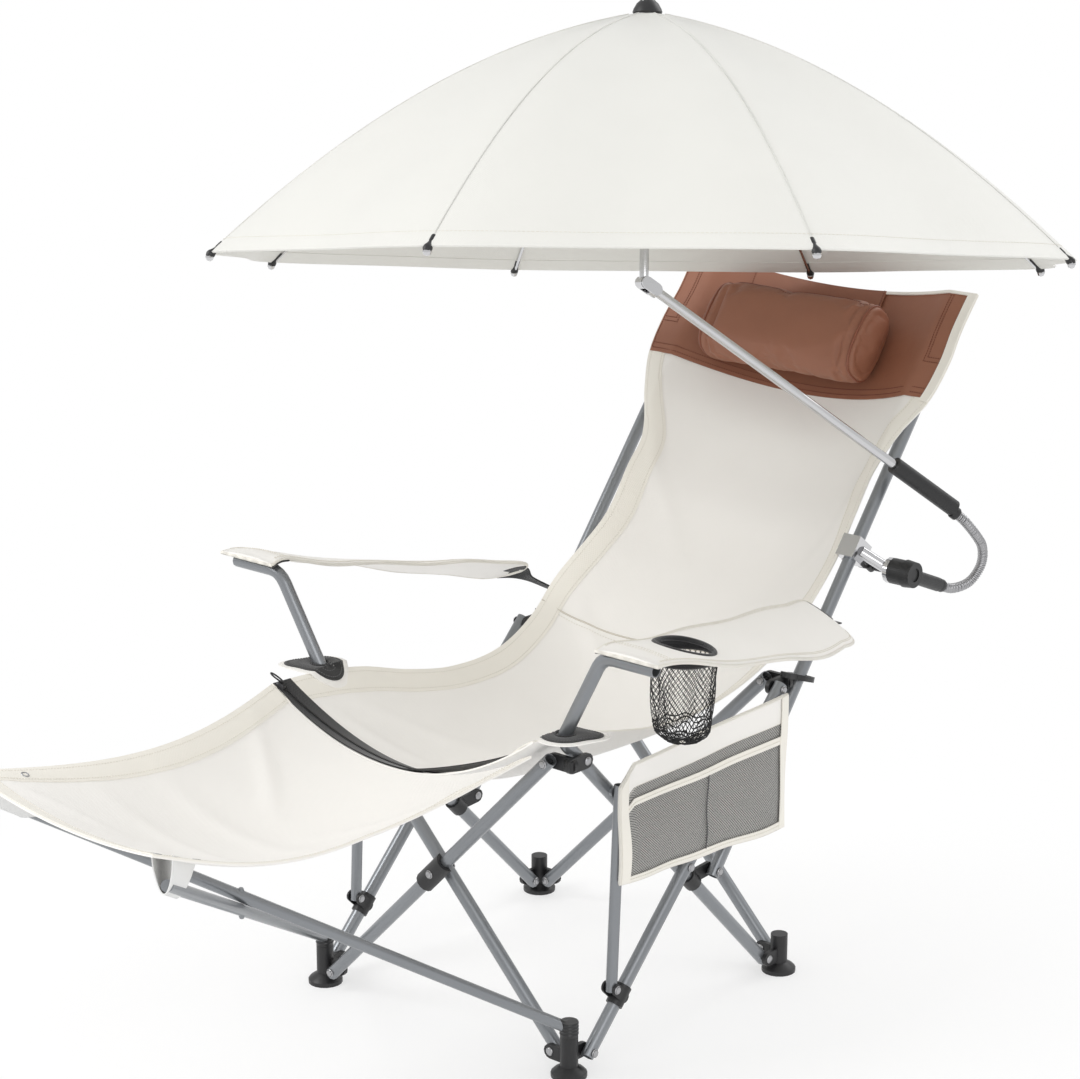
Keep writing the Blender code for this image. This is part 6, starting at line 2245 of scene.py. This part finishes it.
@dataclass
class Studio:
    """The floor, the light and the camera."""

    turn: float = math.radians(41.52)
    lift: float = math.radians(15.46)
    eye: Vector = field(default_factory=lambda: Vector((2.642, -3.013, 1.771)))
    lens: float = 98.61
    ambient: float = 0.80

    def build(self) -> None:
        """Makes the stage."""
        self.camera()
        self.world()
        self.floor()
        for lamp in LAMPS:
            light(*lamp)

    def camera(self) -> None:
        """The camera at the photograph's angle."""
        data = bpy.data.cameras.new("view")
        data.lens, data.sensor_width, data.sensor_fit = self.lens, 36, "HORIZONTAL"
        data.clip_end = 60
        eye = bpy.data.objects.new("view", data)
        bpy.context.scene.collection.objects.link(eye)
        eye.location = self.eye + SHIFT
        eye.rotation_euler = (math.pi / 2 - self.lift, 0, self.turn)
        bpy.context.scene.camera = eye

    def world(self) -> None:
        """White to the eye and to transmission rays, softer as a light."""
        bpy.context.scene.view_settings.view_transform = "Standard"
        world = bpy.data.worlds.new("studio")
        bpy.context.scene.world = world
        world.use_nodes = True
        tree = world.node_tree
        background = tree.nodes["Background"]
        path = tree.nodes.new("ShaderNodeLightPath")
        seen = tree.nodes.new("ShaderNodeMath")
        seen.operation = "MAXIMUM"
        tree.links.new(path.outputs["Is Camera Ray"], seen.inputs[0])
        tree.links.new(path.outputs["Is Transmission Ray"], seen.inputs[1])
        level = tree.nodes.new("ShaderNodeMapRange")
        level.inputs["To Min"].default_value = self.ambient
        level.inputs["To Max"].default_value = 1.0
        tree.links.new(seen.outputs[0], level.inputs["Value"])
        tree.links.new(level.outputs[0], background.inputs["Strength"])
        background.inputs["Color"].default_value = (1, 1, 1, 1)

    def floor(self) -> None:
        """A pale floor that grows white away from the chair."""
        deselect()
        bpy.ops.mesh.primitive_circle_add(vertices=96, radius=14, fill_type="NGON")
        made = bpy.context.active_object
        made.name = "floor"
        material = bpy.data.materials.new("floor")
        graph = Graph(material)
        graph.shader.inputs["Base Color"].default_value = (0.93, 0.93, 0.93, 1)
        graph.shader.inputs["Roughness"].default_value = 0.9
        glow = graph.node("ShaderNodeEmission", None, {"Color": (1, 1, 1, 1), "Strength": 1.0})
        distance = graph.value("ShaderNodeVectorMath", {"operation": "LENGTH"}, [graph.place()])
        distance.socket = distance.socket.node.outputs["Value"]
        fade = graph.value(
            "ShaderNodeMapRange", {"interpolation_type": "SMOOTHSTEP"}, {
                0: distance, 1: 0.35, 2: 1.3, 3: 0.55, 4: 1.0
            }
        )
        mix = graph.node(
            "ShaderNodeMixShader", None, [fade, graph.shader.outputs[0], glow.outputs[0]]
        )
        graph.link(mix.outputs[0], graph.output.inputs["Surface"])
        made.data.materials.append(material)


FRAME_FINISHES = {"steel": GREY_STEEL, "chrome": CHROME, "plastic": BLACK}
PIECE_FINISHES = {
    "footrest_tube_left": PLUGGED_STEEL, "footrest_tube_right": PLUGGED_STEEL, "clamp_jaw": CHROME
}


def dress_frame() -> None:
    """Gives the CAD nodes that stay their finishes and smooth shading."""
    for name, node in frame["nodes"].items():
        word = node.material_slots[0].material.name.lower() if node.material_slots else ""
        finish = next((FRAME_FINISHES[key] for key in FRAME_FINISHES if key in word), None)
        if finish is None:
            continue
        finish = PIECE_FINISHES.get(name, finish)
        finish.put_on(node)
        for face in node.data.polygons:
            face.use_smooth = True
        weld = node.modifiers.new("weld", "WELD")
        weld.merge_threshold = 1e-5
        split = node.modifiers.new("crisp", "EDGE_SPLIT")
        split.split_angle = math.radians(38)
        LOG.info("%s: %s", name, finish.name)


def main() -> None:
    """Builds the chair's dress and its stage."""
    logging.basicConfig(level=logging.INFO, format="%(message)s")
    dress_frame()
    given = set(bpy.data.objects)
    builders = [Sling(SLING), Zip(SLING), HeadBand(SLING), Pillow(SLING), Footrest(FOOTREST)]
    builders += [PostPatch(side, SLING) for side in Side]
    builders += [ArmRest(Side.LEFT), ArmRest(Side.RIGHT, rear_height=0.508)]
    builders += [CupNet(), Organizer(), Canopy(), Gooseneck()]
    for builder in builders:
        builder.build()
        LOG.info("%s is built", type(builder).__name__)
    for number, rivet in enumerate(frame_rivets(), 1):
        rivet.build(number)
    for piece in bpy.data.objects:
        if piece not in given and piece.type == "MESH":
            LOG.info("%s: %d faces", piece.name, len(piece.data.polygons))
    Studio().build()


if __name__ == "__main__":
    main()
